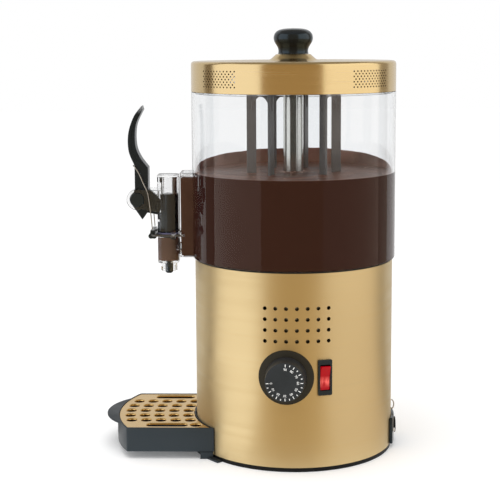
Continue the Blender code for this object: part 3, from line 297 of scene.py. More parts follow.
def finished_mesh(item):
    """The mesh that an object's modifiers or curve make."""
    bpy.context.view_layer.update()
    evaluated = item.evaluated_get(bpy.context.evaluated_depsgraph_get())
    return bpy.data.meshes.new_from_object(evaluated)


def apply_modifiers(piece):
    """Replace the piece's mesh by the one its modifiers make."""
    mesh = finished_mesh(piece)
    mesh.name = piece.name
    piece.modifiers.clear()
    piece.data = mesh
    return piece


def combine(piece, operation, *tools):
    """Boolean the tools into or out of the piece, and remove them."""
    for tool in tools:
        step = piece.modifiers.new(operation.lower(), "BOOLEAN")
        step.operation = operation
        step.object = tool
    apply_modifiers(piece)
    for tool in tools:
        bpy.data.objects.remove(tool, do_unlink=True)
    return piece


def carve(piece, *tools):
    """Cut the tools' shapes out of the piece."""
    return combine(piece, "DIFFERENCE", *tools)


def fuse(piece, *tools):
    """Make one body of the piece and the tools."""
    return combine(piece, "UNION", *tools)


def wire(name, points, radius, sides=4):
    """A round wire through the points, with closed ends."""
    curve = bpy.data.curves.new(name, "CURVE")
    curve.dimensions = "3D"
    curve.bevel_depth = radius
    curve.bevel_resolution = sides
    curve.use_fill_caps = True
    spline = curve.splines.new("POLY")
    spline.points.add(len(points) - 1)
    for target, point in zip(spline.points, points):
        target.co = (*point, 1.0)
    return curve_piece(name, curve)


def curve_piece(name, curve):
    """The welded mesh object of a curve or text."""
    holder = new_object(name + "_line", curve)
    shape = bmesh.new()
    shape.from_mesh(finished_mesh(holder))
    bpy.data.objects.remove(holder, do_unlink=True)
    bmesh.ops.remove_doubles(shape, verts=shape.verts, dist=1e-6)
    bmesh.ops.recalc_face_normals(shape, faces=shape.faces)
    return from_bmesh(name, shape)


def joined(name, pieces):
    """One object holding several separate shapes."""
    shape = bmesh.new()
    for piece in pieces:
        piece.data.transform(piece.matrix_world)
        shape.from_mesh(piece.data)
        bpy.data.objects.remove(piece, do_unlink=True)
    return from_bmesh(name, shape)


def shade(piece, angle=35.0):
    """Smooth shading that keeps sharp edges sharp and flat faces flat."""
    piece.data.shade_smooth()
    piece.data.set_sharp_from_angle(angle=math.radians(angle))
    weighted = piece.modifiers.new("weighted_normals", "WEIGHTED_NORMAL")
    weighted.keep_sharp = True
    return piece


def settle(piece, body, slot, look, *nodes, angle=35.0, shaded=False):
    """Give the piece its material and body, in place of these CAD nodes. The slot argument is not used."""
    if not shaded:
        shade(piece, angle)
    piece.data.materials.clear()
    piece.data.materials.append(looks[look])
    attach(piece, body)
    if nodes:
        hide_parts(*nodes)
    return piece


def second_look(piece, look, wanted):
    """Give the faces that are wanted another material."""
    piece.data.materials.append(looks[look])
    for face in piece.data.polygons:
        if wanted(face):
            face.material_index = 1


def painted_shade_inside(shell, bottom, top):
    """Painted shade: a dark look on a rolled sheet's back, and on the holes' walls between these heights, so
    that the holes look dark.
    """
    def wanted(face):
        side = shell.data.attributes["side"].data[face.index].value
        return side < 0 or (side == 0 and bottom < face.center.z < top)
    second_look(shell, "inside", wanted)


# ---------------------------------------------------------------- rolled sheet

# The angle from +X at which the ends of a rolled sheet meet.
SEAM = 180.0


def hole(degrees, distance, radius, at_radius, points=20):
    """A round hole in a rolled sheet, as (degrees, distance along the profile) points."""
    return [
        (degrees + math.degrees(x / at_radius), distance + y)
        for x, y in arc((0.0, 0.0), radius, 0.0, 360.0, points)[:-1]
    ]


def profile_point(profile, distance):
    """The (radius, height) and outward normal this far along the profile."""
    normals = []
    lengths = []
    for (r0, z0), (r1, z1) in zip(profile, profile[1:]):
        lengths.append(math.hypot(r1 - r0, z1 - z0))
        normals.append(Vector((z1 - z0, r0 - r1)))
    gone = 0.0
    for index, length in enumerate(lengths):
        if distance <= gone + length + 1e-6 or index == len(lengths) - 1:
            t = (distance - gone) / length
            place = Vector(profile[index]).lerp(Vector(profile[index + 1]), t)
            normal = normals[index].copy()
            if t > 0.999 and index + 1 < len(normals):
                normal += normals[index + 1]
            if t < 0.001 and index > 0:
                normal += normals[index - 1]
            return place, normal.normalized()
        gone += length


def rolled_sheet(name, profile, holes, columns=144):
    """A sheet that follows the profile all the way round Z, with real holes and smooth normals.

    It is drawn flat, cut into columns and at the profile's bends, thickened, and then rolled.
    """
    wide = profile[0][0]
    scale = math.radians(1.0) * wide
    knots = [0.0]
    for (r0, z0), (r1, z1) in zip(profile, profile[1:]):
        knots.append(knots[-1] + math.hypot(r1 - r0, z1 - z0))
    loops = [[(0.0, 0.0), (360.0 * scale, 0.0), (360.0 * scale, knots[-1]), (0.0, knots[-1])]]
    for outline in holes:
        offset = 360.0 * math.floor((outline[0][0] - SEAM) / 360.0)
        loops.append([((degrees - SEAM - offset) * scale, distance) for degrees, distance in outline])
    shape = bmesh.new()
    depth = shape.verts.layers.float.new("along")
    edges = []
    for loop in loops:
        corners = [shape.verts.new((x, y, 0.0)) for x, y in loop]
        edges += [shape.edges.new((corners[k - 1], corners[k])) for k in range(len(corners))]
    bmesh.ops.triangle_fill(shape, use_beauty=True, use_dissolve=False, edges=edges, normal=(0, 0, 1))
    cuts = [((360.0 * scale * k / columns, 0, 0), (1, 0, 0)) for k in range(1, columns)]
    cuts += [((0, knot, 0), (0, 1, 0)) for knot in knots[1:-1]]
    for place, direction in cuts:
        everything = shape.verts[:] + shape.edges[:] + shape.faces[:]
        bmesh.ops.bisect_plane(shape, geom=everything, dist=1e-7, plane_co=place, plane_no=direction)
    made = bmesh.ops.extrude_face_region(shape, geom=shape.faces[:])["geom"]
    back = [item for item in made if isinstance(item, bmesh.types.BMVert)]
    bmesh.ops.translate(shape, verts=back, vec=(0.0, 0.0, -SHEET))
    bmesh.ops.recalc_face_normals(shape, faces=shape.faces)
    ends = [
        face for face in shape.faces
        if abs(face.normal.x) > 0.9
        and (face.calc_center_median().x < 1e-5 or face.calc_center_median().x > 360.0 * scale - 1e-5)
    ]
    bmesh.ops.delete(shape, geom=ends, context="FACES_ONLY")
    side = shape.faces.layers.int.new("side")
    for face in shape.faces:
        face[side] = round(face.normal.z) if abs(face.normal.z) > 0.9 else 0
    for vertex in shape.verts:
        u, along, back = vertex.co
        angle = math.radians(u / scale + SEAM)
        place, normal = profile_point(profile, along)
        radius, height = place + normal * back
        vertex[depth] = along
        vertex.co = (radius * math.cos(angle), radius * math.sin(angle), height)
    bmesh.ops.remove_doubles(shape, verts=shape.verts, dist=1e-6)
    piece = from_bmesh(name, shape)
    mesh = piece.data
    mesh.shade_smooth()
    along = mesh.attributes["along"].data
    sides = mesh.attributes["side"].data
    normals = []
    for face in mesh.polygons:
        for index in face.vertices:
            if sides[face.index].value == 0:
                normals.append(face.normal.copy())
                continue
            x, y, _ = mesh.vertices[index].co
            _, normal = profile_point(profile, along[index].value)
            flat = math.hypot(x, y)
            out = Vector((normal.x * x / flat, normal.x * y / flat, normal.y))
            normals.append(out * sides[face.index].value)
    mesh.normals_split_custom_set(normals)
    return piece


# ---------------------------------------------------------------- materials

def new_look(name, colour, roughness, **sockets):
    """A material whose Principled shader has these plain values, with its nodes to build on."""
    look = bpy.data.materials.new(name)
    look.use_nodes = True
    shader = shader_of(look)
    shader.inputs["Base Color"].default_value = (*colour, 1.0)
    shader.inputs["Roughness"].default_value = roughness
    for socket, value in sockets.items():
        shader.inputs[socket.replace("_", " ").title().replace("Ior", "IOR")].default_value = value
    return look


def shader_of(look):
    """The material's Principled shader."""
    return look.node_tree.nodes["Principled BSDF"]


def add(look, kind, inputs=(), **settings):
    """A new node with its settings, and its inputs set or linked by name or number."""
    node = look.node_tree.nodes.new("ShaderNode" + kind)
    for key, value in settings.items():
        setattr(node, key, value)
    for key, value in dict(inputs).items():
        if isinstance(value, bpy.types.NodeSocket):
            look.node_tree.links.new(value, node.inputs[key])
        else:
            node.inputs[key].default_value = value
    return node


def feed(look, socket, value):
    """Link a value into the Principled shader."""
    look.node_tree.links.new(value, shader_of(look).inputs[socket])


def place_of(look):
    """The position on the piece, which moves with it."""
    return add(look, "TexCoord").outputs["Object"]


def calculate(look, operation, *values):
    """The result of one step of arithmetic on the values."""
    return add(look, "Math", dict(enumerate(values)), operation=operation).outputs[0]


def axis_parts(look):
    """The position, its X, Y and Z, its place in plan and its distance from the machine's axis."""
    place = place_of(look)
    parts = add(look, "SeparateXYZ", {0: place}).outputs
    flat = add(look, "CombineXYZ", {0: parts[0], 1: parts[1]}).outputs[0]
    radius = add(look, "VectorMath", {0: flat}, operation="LENGTH").outputs["Value"]
    return place, parts, flat, radius


def scaled(colour, factor):
    """The colour made lighter or darker."""
    return tuple(min(1.0, channel * factor) for channel in colour)


def grain(look, scale, detail=3.0, stretch=None, place=None, roughness=0.5):
    """A noise value over the piece, stretched by the three factors."""
    place = place or place_of(look)
    if stretch:
        place = add(look, "VectorMath", {0: place, 1: stretch}, operation="MULTIPLY").outputs[0]
    inputs = {"Vector": place, "Scale": scale, "Detail": detail, "Roughness": roughness}
    return add(look, "TexNoise", inputs).outputs["Fac"]


def span(look, value, first, last, start=0.3, end=0.7):
    """The value mapped from start..end to first..last."""
    inputs = {0: value, 1: start, 2: end, 3: first, 4: last}
    return add(look, "MapRange", inputs).outputs[0]


def blend_colours(look, value, first, last):
    """A mix of two colours; either may be a link."""
    colours = [c if isinstance(c, bpy.types.NodeSocket) else (*c, 1.0) for c in (first, last)]
    inputs = {0: value, 6: colours[0], 7: colours[1]}
    return add(look, "Mix", inputs, data_type="RGBA").outputs[2]


def bump(look, value, strength, distance):
    """Fine relief from a value."""
    inputs = {"Strength": strength, "Distance": distance, "Height": value}
    feed(look, "Normal", add(look, "Bump", inputs).outputs["Normal"])


# How much darker handled metal is.
HANDLING = 0.03


def brushed(name, colour, roughness, streak=0.03, across=900.0, anisotropy=0.7, relief=0.02):
    """Metal brushed round the machine's axis, with faint streaks and handling marks."""
    look = new_look(name, colour, roughness, metallic=1.0, anisotropic=anisotropy,
                    anisotropic_rotation=0.25)
    place, parts, _, radius = axis_parts(look)
    height = calculate(look, "ADD", parts[2], radius)
    lines = add(look, "CombineXYZ", {0: parts[0], 1: parts[1], 2: height}).outputs[0]
    fine = grain(look, 1.0, 4.0, (7.0, 7.0, across), lines)
    broad = grain(look, 1.0, 2.0, (3.0, 3.0, across / 6), lines)
    cloud = grain(look, 9.0, 3.0, None, place)
    streaks = calculate(look, "ADD", fine, broad)
    dark = scaled(colour, 1.0 - streak)
    light = scaled(colour, 1.0 + streak)
    worn = scaled(colour, 1.0 - HANDLING)
    tone = blend_colours(look, span(look, streaks, 0.0, 1.0, 0.7, 1.3), dark, light)
    feed(look, "Base Color", blend_colours(look, span(look, cloud, 0.0, 0.5), tone, worn))
    rough = span(look, streaks, roughness * 0.85, roughness * 1.15, 0.7, 1.3)
    smudge = span(look, cloud, 0.0, 0.04)
    feed(look, "Roughness", calculate(look, "ADD", rough, smudge))
    feed(look, "Tangent", add(look, "Tangent", direction_type="RADIAL", axis="Z").outputs[0])
    bump(look, fine, relief, 0.0002)
    return look


def moulded(name, colour, roughness, relief=0.15, scale=900.0, vary=0.15, **sockets):
    """Moulded plastic or rubber: fine spark texture, uneven gloss and slight colour drift."""
    look = new_look(name, colour, roughness, **sockets)
    place = place_of(look)
    fine = grain(look, scale, 2.0, None, place)
    cloud = grain(look, 22.0, 4.0, None, place)
    dark = scaled(colour, 1.0 - vary)
    light = scaled(colour, 1.0 + vary)
    feed(look, "Base Color", blend_colours(look, span(look, cloud, 0.0, 1.0), dark, light))
    feed(look, "Roughness", span(look, cloud, roughness * 0.85, roughness * 1.2))
    bump(look, fine, relief, 0.0002)
    return look


def clear(name, colour, roughness, ior, tint):
    """Clear plastic that lets lamps light what is behind it, with faint wipe marks."""
    look = new_look(name, colour, roughness, transmission_weight=1.0, ior=ior, specular_tint=(*tint, 1.0))
    marks = grain(look, 30.0, 4.0, (1.0, 1.0, 0.25))
    feed(look, "Roughness", span(look, marks, roughness * 0.4, roughness * 2.0, 0.35, 0.75))
    tree = look.node_tree
    path = add(look, "LightPath").outputs
    open_way = add(look, "BsdfTransparent", {0: (0.86, 0.865, 0.87, 1.0)}).outputs[0]
    shader = shader_of(look).outputs[0]
    for kind in ("Is Diffuse Ray", "Is Shadow Ray"):
        shader = add(look, "MixShader", {0: path[kind], 1: shader, 2: open_way}).outputs[0]
    tree.links.new(shader, tree.nodes["Material Output"].inputs["Surface"])
    return look


def drink_top(name, top, froth):
    """The surface of drinking chocolate: lighter swirls, with froth at the wall and the column."""
    look = new_look(name, top, 0.45, specular_ior_level=0.08)
    place, _, flat, radius = axis_parts(look)
    turn = calculate(look, "MULTIPLY", radius, 22.0)
    swirl = add(look, "VectorRotate", {"Vector": flat, "Angle": turn}, rotation_type="Z_AXIS").outputs[0]
    streaks = grain(look, 30.0, 6.0, (1.0, 0.35, 1.0), swirl, 0.62)
    bubbles = grain(look, 420.0, 2.0, None, place)
    tone = blend_colours(look, span(look, streaks, 0.0, 1.0, 0.40, 0.62), top, froth)
    edge = span(look, radius, 0.0, 0.8, TANK_INSIDE - 0.010, TANK_INSIDE - 0.001)
    column = span(look, radius, 0.7, 0.0, COLUMN_RADIUS + 0.002, COLUMN_RADIUS + 0.012)
    rims = calculate(look, "ADD", edge, column)
    speckle = span(look, bubbles, 0.3, 1.0, 0.4, 0.62)
    foam = calculate(look, "MULTIPLY", rims, speckle)
    pale = scaled(froth, 1.6)
    feed(look, "Base Color", blend_colours(look, foam, tone, pale))
    feed(look, "Roughness", span(look, streaks, 0.36, 0.52))
    bump(look, streaks, 0.25, 0.0008)
    return look


def lens_look(name):
    """A red rocker lit from inside, which glows round the lamp in its lower half."""
    look = new_look(name, (0.30, 0.003, 0.008), 0.14, specular_ior_level=0.25)
    parts = add(look, "SeparateXYZ", {0: place_of(look)}).outputs
    lamp = calculate(look, "SUBTRACT", parts[2], SWITCH_PLACE.z - 0.0060)
    near = calculate(look, "ABSOLUTE", lamp)
    glow = span(look, near, 1.0, 0.0, 0.0, 0.0080)
    ribs = grain(look, 300.0, 3.0, (1.0, 1.0, 0.35))
    bright = calculate(look, "MULTIPLY", glow, span(look, ribs, 0.1, 1.2))
    feed(look, "Base Color", blend_colours(look, bright, (0.28, 0.002, 0.006), (0.60, 0.03, 0.03)))
    feed(look, "Emission Color", blend_colours(look, bright, (0.30, 0.0, 0.006), (1.0, 0.30, 0.24)))
    shader_of(look).inputs["Emission Strength"].default_value = 0.48
    bump(look, ribs, 0.3, 0.0005)
    return look


def lever_look(name):
    """Satin black plastic rubbed pale at the lever's tip."""
    look = moulded(name, (0.008, 0.008, 0.009), 0.28, 0.10, specular_ior_level=0.36,
                   specular_tint=COOL)
    parts = add(look, "SeparateXYZ", {0: place_of(look)}).outputs
    tip = span(look, parts[2], 0.0, 1.0, high("lever").z - 0.0110, high("lever").z - 0.0035)
    rub = span(look, grain(look, 320.0, 3.0), 0.3, 1.0, 0.35, 0.6)
    worn = calculate(look, "MULTIPLY", tip, rub)
    old = shader_of(look).inputs["Base Color"].links[0].from_socket
    feed(look, "Base Color", blend_colours(look, worn, old, (0.20, 0.20, 0.20)))
    return look


GOLD = (0.68, 0.535, 0.295)
DEEP_GOLD = (0.66, 0.500, 0.265)
COOL = (0.62, 0.84, 1.0, 1.0)
looks = {
    "gold": brushed("brushed_gold", GOLD, 0.46),
    "lid_gold": brushed("brushed_lid_gold", DEEP_GOLD, 0.23, 0.02, relief=0.010),
    "grille_gold": brushed("brushed_grille_gold", (0.70, 0.470, 0.190), 0.22, anisotropy=0.2),
    # The dark brown inside look is painted shade, for the backs of the rolled sheets and the walls of their
    # holes.
    "inside": moulded("painted_shade_inside", (0.050, 0.026, 0.010), 0.60, specular_ior_level=0.2),
    "column": brushed("column_steel", (0.62, 0.62, 0.59), 0.17, 0.01, 500.0, relief=0.004),
    "steel": brushed("plain_steel", (0.60, 0.59, 0.57), 0.30, anisotropy=0.2),
    "spring": brushed("spring_steel", (0.42, 0.40, 0.37), 0.25, anisotropy=0.0),
    "dark_wire": brushed("dark_wire", (0.12, 0.115, 0.11), 0.35, anisotropy=0.0),
    "tank": clear("tank_plastic", (0.93, 0.935, 0.94), 0.020, 1.40, (0.72, 0.54, 0.42)),
    "tap": clear("tap_plastic", (0.93, 0.935, 0.94), 0.030, 1.49, (1.0, 1.0, 1.0)),
    "stirrer": moulded("stirrer_grey", (0.150, 0.154, 0.154), 0.34, 0.08, 300.0, 0.12,
                       specular_ior_level=0.35),
    "black": moulded("satin_black", (0.009, 0.009, 0.010), 0.20, 0.05, specular_ior_level=0.50,
                      specular_tint=COOL),
    "lever": lever_look("lever_black"),
    "base": moulded("base_black", (0.006, 0.006, 0.006), 0.45, 0.2, specular_ior_level=0.15),
    "tray": moulded("tray_black", (0.018, 0.019, 0.021), 0.48, 0.30, 1400.0, specular_ior_level=0.50,
                    specular_tint=COOL),
    "bezel": moulded("bezel_black", (0.022, 0.019, 0.011), 0.48, 0.35, 1500.0, specular_ior_level=0.3),
    "dial": moulded("dial_grey", (0.026, 0.026, 0.027), 0.45, 0.20, 1200.0, specular_ior_level=0.25,
                    specular_tint=COOL),
    "print": moulded("white_print", (0.80, 0.80, 0.78), 0.5, 0.05),
    "lens": lens_look("lit_red_lens"),
    "rubber": moulded("black_rubber", (0.012, 0.012, 0.012), 0.65, 0.3, specular_ior_level=0.2),
    "seal": moulded("silicone_seal", (0.12, 0.11, 0.20), 0.45, 0.1),
    "case": moulded("grey_motor_case", (0.26, 0.26, 0.27), 0.45, 0.3, metallic=0.6),
    "drink": moulded("chocolate", (0.0284, 0.0076, 0.0052), 0.40, 0.0, 200.0, 0.02, specular_ior_level=0.02),
    "surface": drink_top("chocolate_surface", (0.095, 0.038, 0.027), (0.240, 0.120, 0.090)),
    "duct": moulded("duct_chocolate", (0.060, 0.026, 0.016), 0.40, 0.0, 200.0, 0.20, specular_ior_level=0.02),
    "milky": moulded("milky_chocolate", (0.100, 0.050, 0.033), 0.40, 0.1, 200.0, 0.25,
                     specular_ior_level=0.1),
    "film": moulded("chocolate_film", (0.330, 0.168, 0.128), 0.45, 0.3, 200.0, 0.50, specular_ior_level=0.1),
    "froth": moulded("chocolate_froth", (0.520, 0.350, 0.270), 0.30, 0.2, 300.0, 0.3),
}

# ---------------------------------------------------------------- body and base

VENT_RADIUS = 0.0026
VENT_TOP = 0.2190
VENT_ROW_PITCH = 0.01445
VENT_ROWS = 4
VENT_FIRST = -16.1
VENT_PITCH = 5.89
VENT_COLUMNS = 7
INLET_HEIGHT = 0.0240
GLAND_HOLE = 0.0083
GLAND_FLANGE = 0.0110
GLAND_NECK = 0.0080
LEAD_HOLE = 0.0040
SPINDLE_HOLE = 0.0060
SWITCH_OPENING = (0.0156, 0.0430)
PAN_FLOOR = 0.0020
PAN_STEP = 0.0130
PAN_INSET = 0.0015
# Half the angle that the rear cover spans, and how far in from its ends the screws are, in degrees.
REAR_HALF = 14.0
REAR_SCREW_INSET = 3.5


def make_body():
    """The rolled casing with its vents and openings, on the base pan."""
    profile = [(BODY_RADIUS, BODY_BOTTOM), (BODY_RADIUS, BODY_TOP)]
    holes = [
        hole(VENT_FIRST + VENT_PITCH * column, VENT_TOP - VENT_ROW_PITCH * row - BODY_BOTTOM,
             VENT_RADIUS, BODY_RADIUS)
        for column in range(VENT_COLUMNS) for row in range(VENT_ROWS)
    ]
    holes.append(hole(DIAL_ANGLE, DIAL_PLACE.z - BODY_BOTTOM, SPINDLE_HOLE, BODY_RADIUS, 32))
    holes.append(hole(90.0, INLET_HEIGHT - BODY_BOTTOM, GLAND_HOLE, BODY_RADIUS, 32))
    opening = rectangle(*SWITCH_OPENING, 0.0010, steps=2)
    holes.append([
        (SWITCH_ANGLE + math.degrees(x / BODY_RADIUS), SWITCH_PLACE.z - BODY_BOTTOM + y) for x, y in opening
    ])
    shell = rolled_sheet("casing", profile, holes)
    settle(shell, "root", "gold_steel", "gold", "body_shell", shaded=True)
    # Painted shade on the casing's back and on its holes' walls.
    painted_shade_inside(shell, BODY_BOTTOM + SHEET, BODY_TOP - SHEET)

    skirt = BODY_RADIUS - SHEET - 2 * GAP
    band = BODY_RADIUS - 0.0004
    edge = BODY_BOTTOM - GAP
    corners = [
        (0.0, PAN_FLOOR), (skirt - PAN_INSET, PAN_FLOOR), (skirt - PAN_INSET, PAN_STEP), (skirt, PAN_STEP),
        (skirt, edge), (band, edge), (band, 0.0), (0.0, 0.0),
    ]
    pan = turned("base_ring", rounded(corners, 0.0008, closed=False, steps=3), 144)
    settle(pan, "root", "black_plastic", "base", "base_pan")


def make_rear():
    """The cover at the foot of the back with its gland, screws and hook."""
    outer = high("rear_cover").y
    inner = BODY_RADIUS + GAP
    outline = arc((0.0, 0.0), outer, 90.0 - REAR_HALF, 90.0 + REAR_HALF, 24)
    outline += arc((0.0, 0.0), inner, 90.0 + REAR_HALF, 90.0 - REAR_HALF, 24)
    bottom, top = low("rear_cover").z, high("rear_cover").z
    cover = plate("back_cover", outline, bottom, top, 0.0010)
    bore = facing(90.0, (0.0, outer, INLET_HEIGHT))
    carve(cover, rod("bore", GLAND_HOLE, -0.01, 0.01, matrix=bore))
    settle(cover, "root", "black_plastic", "black", "rear_cover")

    face = outer - BODY_RADIUS + GAP
    profile = [(GLAND_FLANGE, face + 0.0020), (GLAND_FLANGE, face), (GLAND_NECK, face),
               (GLAND_NECK, -0.0060), (LEAD_HOLE, -0.0060), (LEAD_HOLE, face + 0.0020)]
    gland = turned("lead_gland", rounded(profile, 0.0008, steps=3), 48,
                   facing(90.0, (0.0, BODY_RADIUS, INLET_HEIGHT)))
    settle(gland, "root", "rubber", "rubber", "cord_gland")

    for number, side in enumerate((-1.0, 1.0), 1):
        degrees = 90.0 + side * (REAR_HALF - REAR_SCREW_INSET)
        matrix = facing(degrees, around(outer + 2 * GAP, degrees, INLET_HEIGHT))
        dome = [(0.0, 0.0016), (0.0022, 0.0014), (0.0030, 0.0006), (0.0032, 0.0), (0.0, 0.0)]
        head = turned(f"cover_screw_head_{number}", dome, 32, matrix)
        for turn in (0.0, 90.0):
            spin = matrix @ Matrix.Rotation(math.radians(turn), 4, "Z")
            carve(head, block("slot", (-0.0003, -0.0018, 0.0008), (0.0003, 0.0018, 0.0030), matrix=spin))
        settle(head, "root", "steel", "steel", f"cover_screw_{number}")

    points = [
        (0.0, BODY_RADIUS + 0.0012, 0.0470), (0.0, BODY_RADIUS + 0.0022, 0.0466),
        (0.0, BODY_RADIUS + 0.0042, 0.0500), (0.0, BODY_RADIUS + 0.0046, 0.0545),
        (0.0, BODY_RADIUS + 0.0034, 0.0580), (0.0, BODY_RADIUS + 0.0012, 0.0600),
    ]
    hook = wire("wire_hook", smooth_path(points, 6), 0.0008)
    settle(hook, "root", "steel", "spring", "lead_hook")


# ---------------------------------------------------------------- lid

LID_ROUND = 0.0045
BOSS_FOOT = 0.0335
BOSS_RADIUS = 0.0235
KNOB_SCREW_HOLE = 0.0032
LID_VENT = 0.00118
LID_VENT_HEIGHT = 0.5138
LID_VENT_ROW = 0.00337
LID_VENT_ROWS = 7
# The middle, pitch in degrees and holes in the longer rows of each patch of lid vents.
LID_PATCHES = ((-45.15, 2.45, 11), (46.45, 2.37, 12), (133.5, 2.37, 12), (225.2, 2.45, 11))


def make_lid():
    """The lid's rolled shell with its patches of fine vents, its lip and its knob."""
    profile = [(TANK_RADIUS, LID_BOTTOM)]
    profile += arc((TANK_RADIUS - LID_ROUND, LID_TOP - LID_ROUND), LID_ROUND, 0.0, 90.0, 8)
    shoulder = [(profile[-1][0], LID_TOP), (BOSS_FOOT, LID_TOP), (BOSS_RADIUS, BOSS_TOP),
                (KNOB_SCREW_HOLE, BOSS_TOP)]
    profile += rounded(shoulder, (0.0, 0.0165, 0.0030, 0.0), closed=False, steps=6)[1:]
    holes = []
    for middle, pitch, count in LID_PATCHES:
        for row in range(LID_VENT_ROWS):
            height = LID_VENT_HEIGHT - LID_BOTTOM + LID_VENT_ROW * (row - (LID_VENT_ROWS - 1) / 2)
            across = count - row % 2
            for k in range(across):
                degrees = middle + pitch * (k - (across - 1) / 2)
                holes.append(hole(degrees, height, LID_VENT, TANK_RADIUS, 10))
    shell = rolled_sheet("lid_cover", profile, holes, 120)
    settle(shell, "lid", "gold_steel", "lid_gold", "lid_shell", shaded=True)
    # Painted shade on the lid's back and on its vents' walls.
    painted_shade_inside(shell, LID_BOTTOM + SHEET, LID_TOP)

    outside = TANK_INSIDE - 0.0008
    near = TANK_RADIUS - SHEET - GAP
    corners = [
        (near, LID_BOTTOM + 0.0016), (near, LID_BOTTOM), (outside, LID_BOTTOM),
        (outside, LID_BOTTOM - 0.0030), (outside - 0.0012, LID_BOTTOM - 0.0030),
        (outside - 0.0012, LID_BOTTOM + 0.0016),
    ]
    lip = turned("lid_ring", rounded(corners, 0.0004, steps=2), 144)
    settle(lip, "lid", "clear_plastic", "tap", "lid_lip")

    top = KNOB_TOP
    belly = smooth_path([
        (0.0001, top), (0.0120, top - 0.0006), (0.0205, top - 0.0028), (0.0253, top - 0.0072),
        (0.0268, top - 0.0130), (0.0258, top - 0.0180), (0.0232, top - 0.0225), (0.0210, top - 0.0265),
        (0.0203, top - 0.0305), (0.0204, KNOB_FOOT + 0.0018), (0.0208, KNOB_FOOT + 0.0006),
    ], 5)
    foot = [(0.0205, KNOB_FOOT), (0.0028, KNOB_FOOT), (0.0028, KNOB_FOOT + 0.0160), (0.0, KNOB_FOOT + 0.0160)]
    knob = turned("knob", [(0.0, top)] + belly + foot, 96)
    settle(knob, "lid", "black_plastic", "black", "lid_knob")


# ---------------------------------------------------------------- tank, column and drink

PORT_RADIUS = 0.0075
TAP_BORE = 0.0112
NOZZLE_RADIUS = 0.0062
LUG_START = -0.1560
LUG_END = -0.1500
LUG_REACH = 0.0062
FORK_WIRE = 0.0015
FORK_HALF = 0.0277
PRONG_HOLE = FORK_WIRE + GAP


def duct_block(name, grow, top, back, edge):
    """A box that fills the duct's hollow, grown by this much."""
    half = DUCT_HALF - DUCT_WALL + grow
    return block(name, (-half, DUCT_FRONT + DUCT_WALL - grow, TANK_BOTTOM + DUCT_WALL - grow),
                 (half, back, top + grow), edge)


def prong_holes(y):
    """Cutters for the two holes that take the fork's prongs."""
    places = [(side * FORK_HALF, y, FORK_HEIGHT) for side in (-1.0, 1.0)]
    return [rod("prong", PRONG_HOLE, -0.01, 0.01, 0.0, 16, facing(-90.0, place)) for place in places]


def make_tank():
    """The clear tank with its outlet duct, and the gasket that it stands on."""
    tank = ring("clear_tank", TANK_RADIUS, TANK_INSIDE, TANK_BOTTOM, TANK_TOP, 0.0008, 192)
    duct = block("duct", (-DUCT_HALF, DUCT_FRONT, TANK_BOTTOM + 0.0002),
                 (DUCT_HALF, -TANK_INSIDE - 0.0004, DUCT_TOP), 0.0016)
    lugs = []
    for side in (-1.0, 1.0):
        near, far = sorted((side * (DUCT_HALF - 0.0010), side * (DUCT_HALF + LUG_REACH)))
        lugs.append(block("lug", (near, LUG_START, FORK_HEIGHT - 0.0040),
                          (far, LUG_END, FORK_HEIGHT + 0.0040), 0.0006))
    fuse(tank, duct, *lugs)
    hollow = duct_block("hollow", 0.0, DUCT_TOP - DUCT_WALL, -0.1250, 0.0015)
    port = rod("port", PORT_RADIUS, -0.01, 0.01, matrix=facing(-90.0, (0.0, DUCT_FRONT, PORT_HEIGHT)))
    carve(tank, hollow, port, *prong_holes(-0.1530))
    settle(tank, "root", "clear_plastic", "tank", "tank", angle=30.0)

    outer = BODY_RADIUS - 0.0002
    corners = [(outer, TANK_BOTTOM - GAP), (outer, BODY_TOP + GAP), (TANK_INSIDE - 0.0080, BODY_TOP + GAP),
               (TANK_INSIDE - 0.0080, TANK_BOTTOM - GAP)]
    gasket = turned("tank_seal_ring", rounded(corners, 0.0006, steps=3), 144)
    settle(gasket, "root", "rubber", "rubber", "tank_gasket")

    top = high("column_tube").z
    bottom = low("column_tube").z
    seat = 0.2375
    inner = 0.0118
    corners = [
        (COLUMN_RADIUS, top), (COLUMN_RADIUS, seat + 0.002), (0.0200, seat + 0.002), (0.0200, seat),
        (COLUMN_RADIUS, seat), (COLUMN_RADIUS, bottom), (inner, bottom), (inner, top),
    ]
    column = turned("shaft_column", rounded(corners, 0.0004, steps=2), 64)
    settle(column, "root", "steel", "column", "column_tube")


PAN_DRINK_BOTTOM = 0.2390
PAN_DRINK_TOP = 0.2640
PAN_DRINK_RADIUS = 0.1165
NECK_RADIUS = 0.1280
NECK_TOP = 0.2680
DUCT_DRINK_TOP = 0.3772
FILM_LOWEST = 0.0014
FILM_RISE = 0.0205
BUBBLES = 150
# The legs of the stirrer sweep the drink between these distances from the axis.
LEG_SWEEP = (0.0490, 0.0690)


def ripple(radius, angle, height):
    """How far the drink's surface rises: slow swirls, and a meniscus at the wall and the column."""
    if height < DRINK_TOP - 0.0001:
        return 0.0
    place = around(radius, math.degrees(angle) + 700.0 * radius, 0.0)
    swirl = 0.0009 * noise.fractal(place * 38.0, 0.9, 2.1, 3)
    wall = 0.0010 * math.exp((radius - TANK_INSIDE) / 0.0012)
    post = 0.0012 * math.exp(min(0.0, COLUMN_RADIUS - radius) / 0.0022)
    calm = min(1.0, max(0.0, (TANK_INSIDE - radius) / 0.010))
    return swirl * calm + wall + post


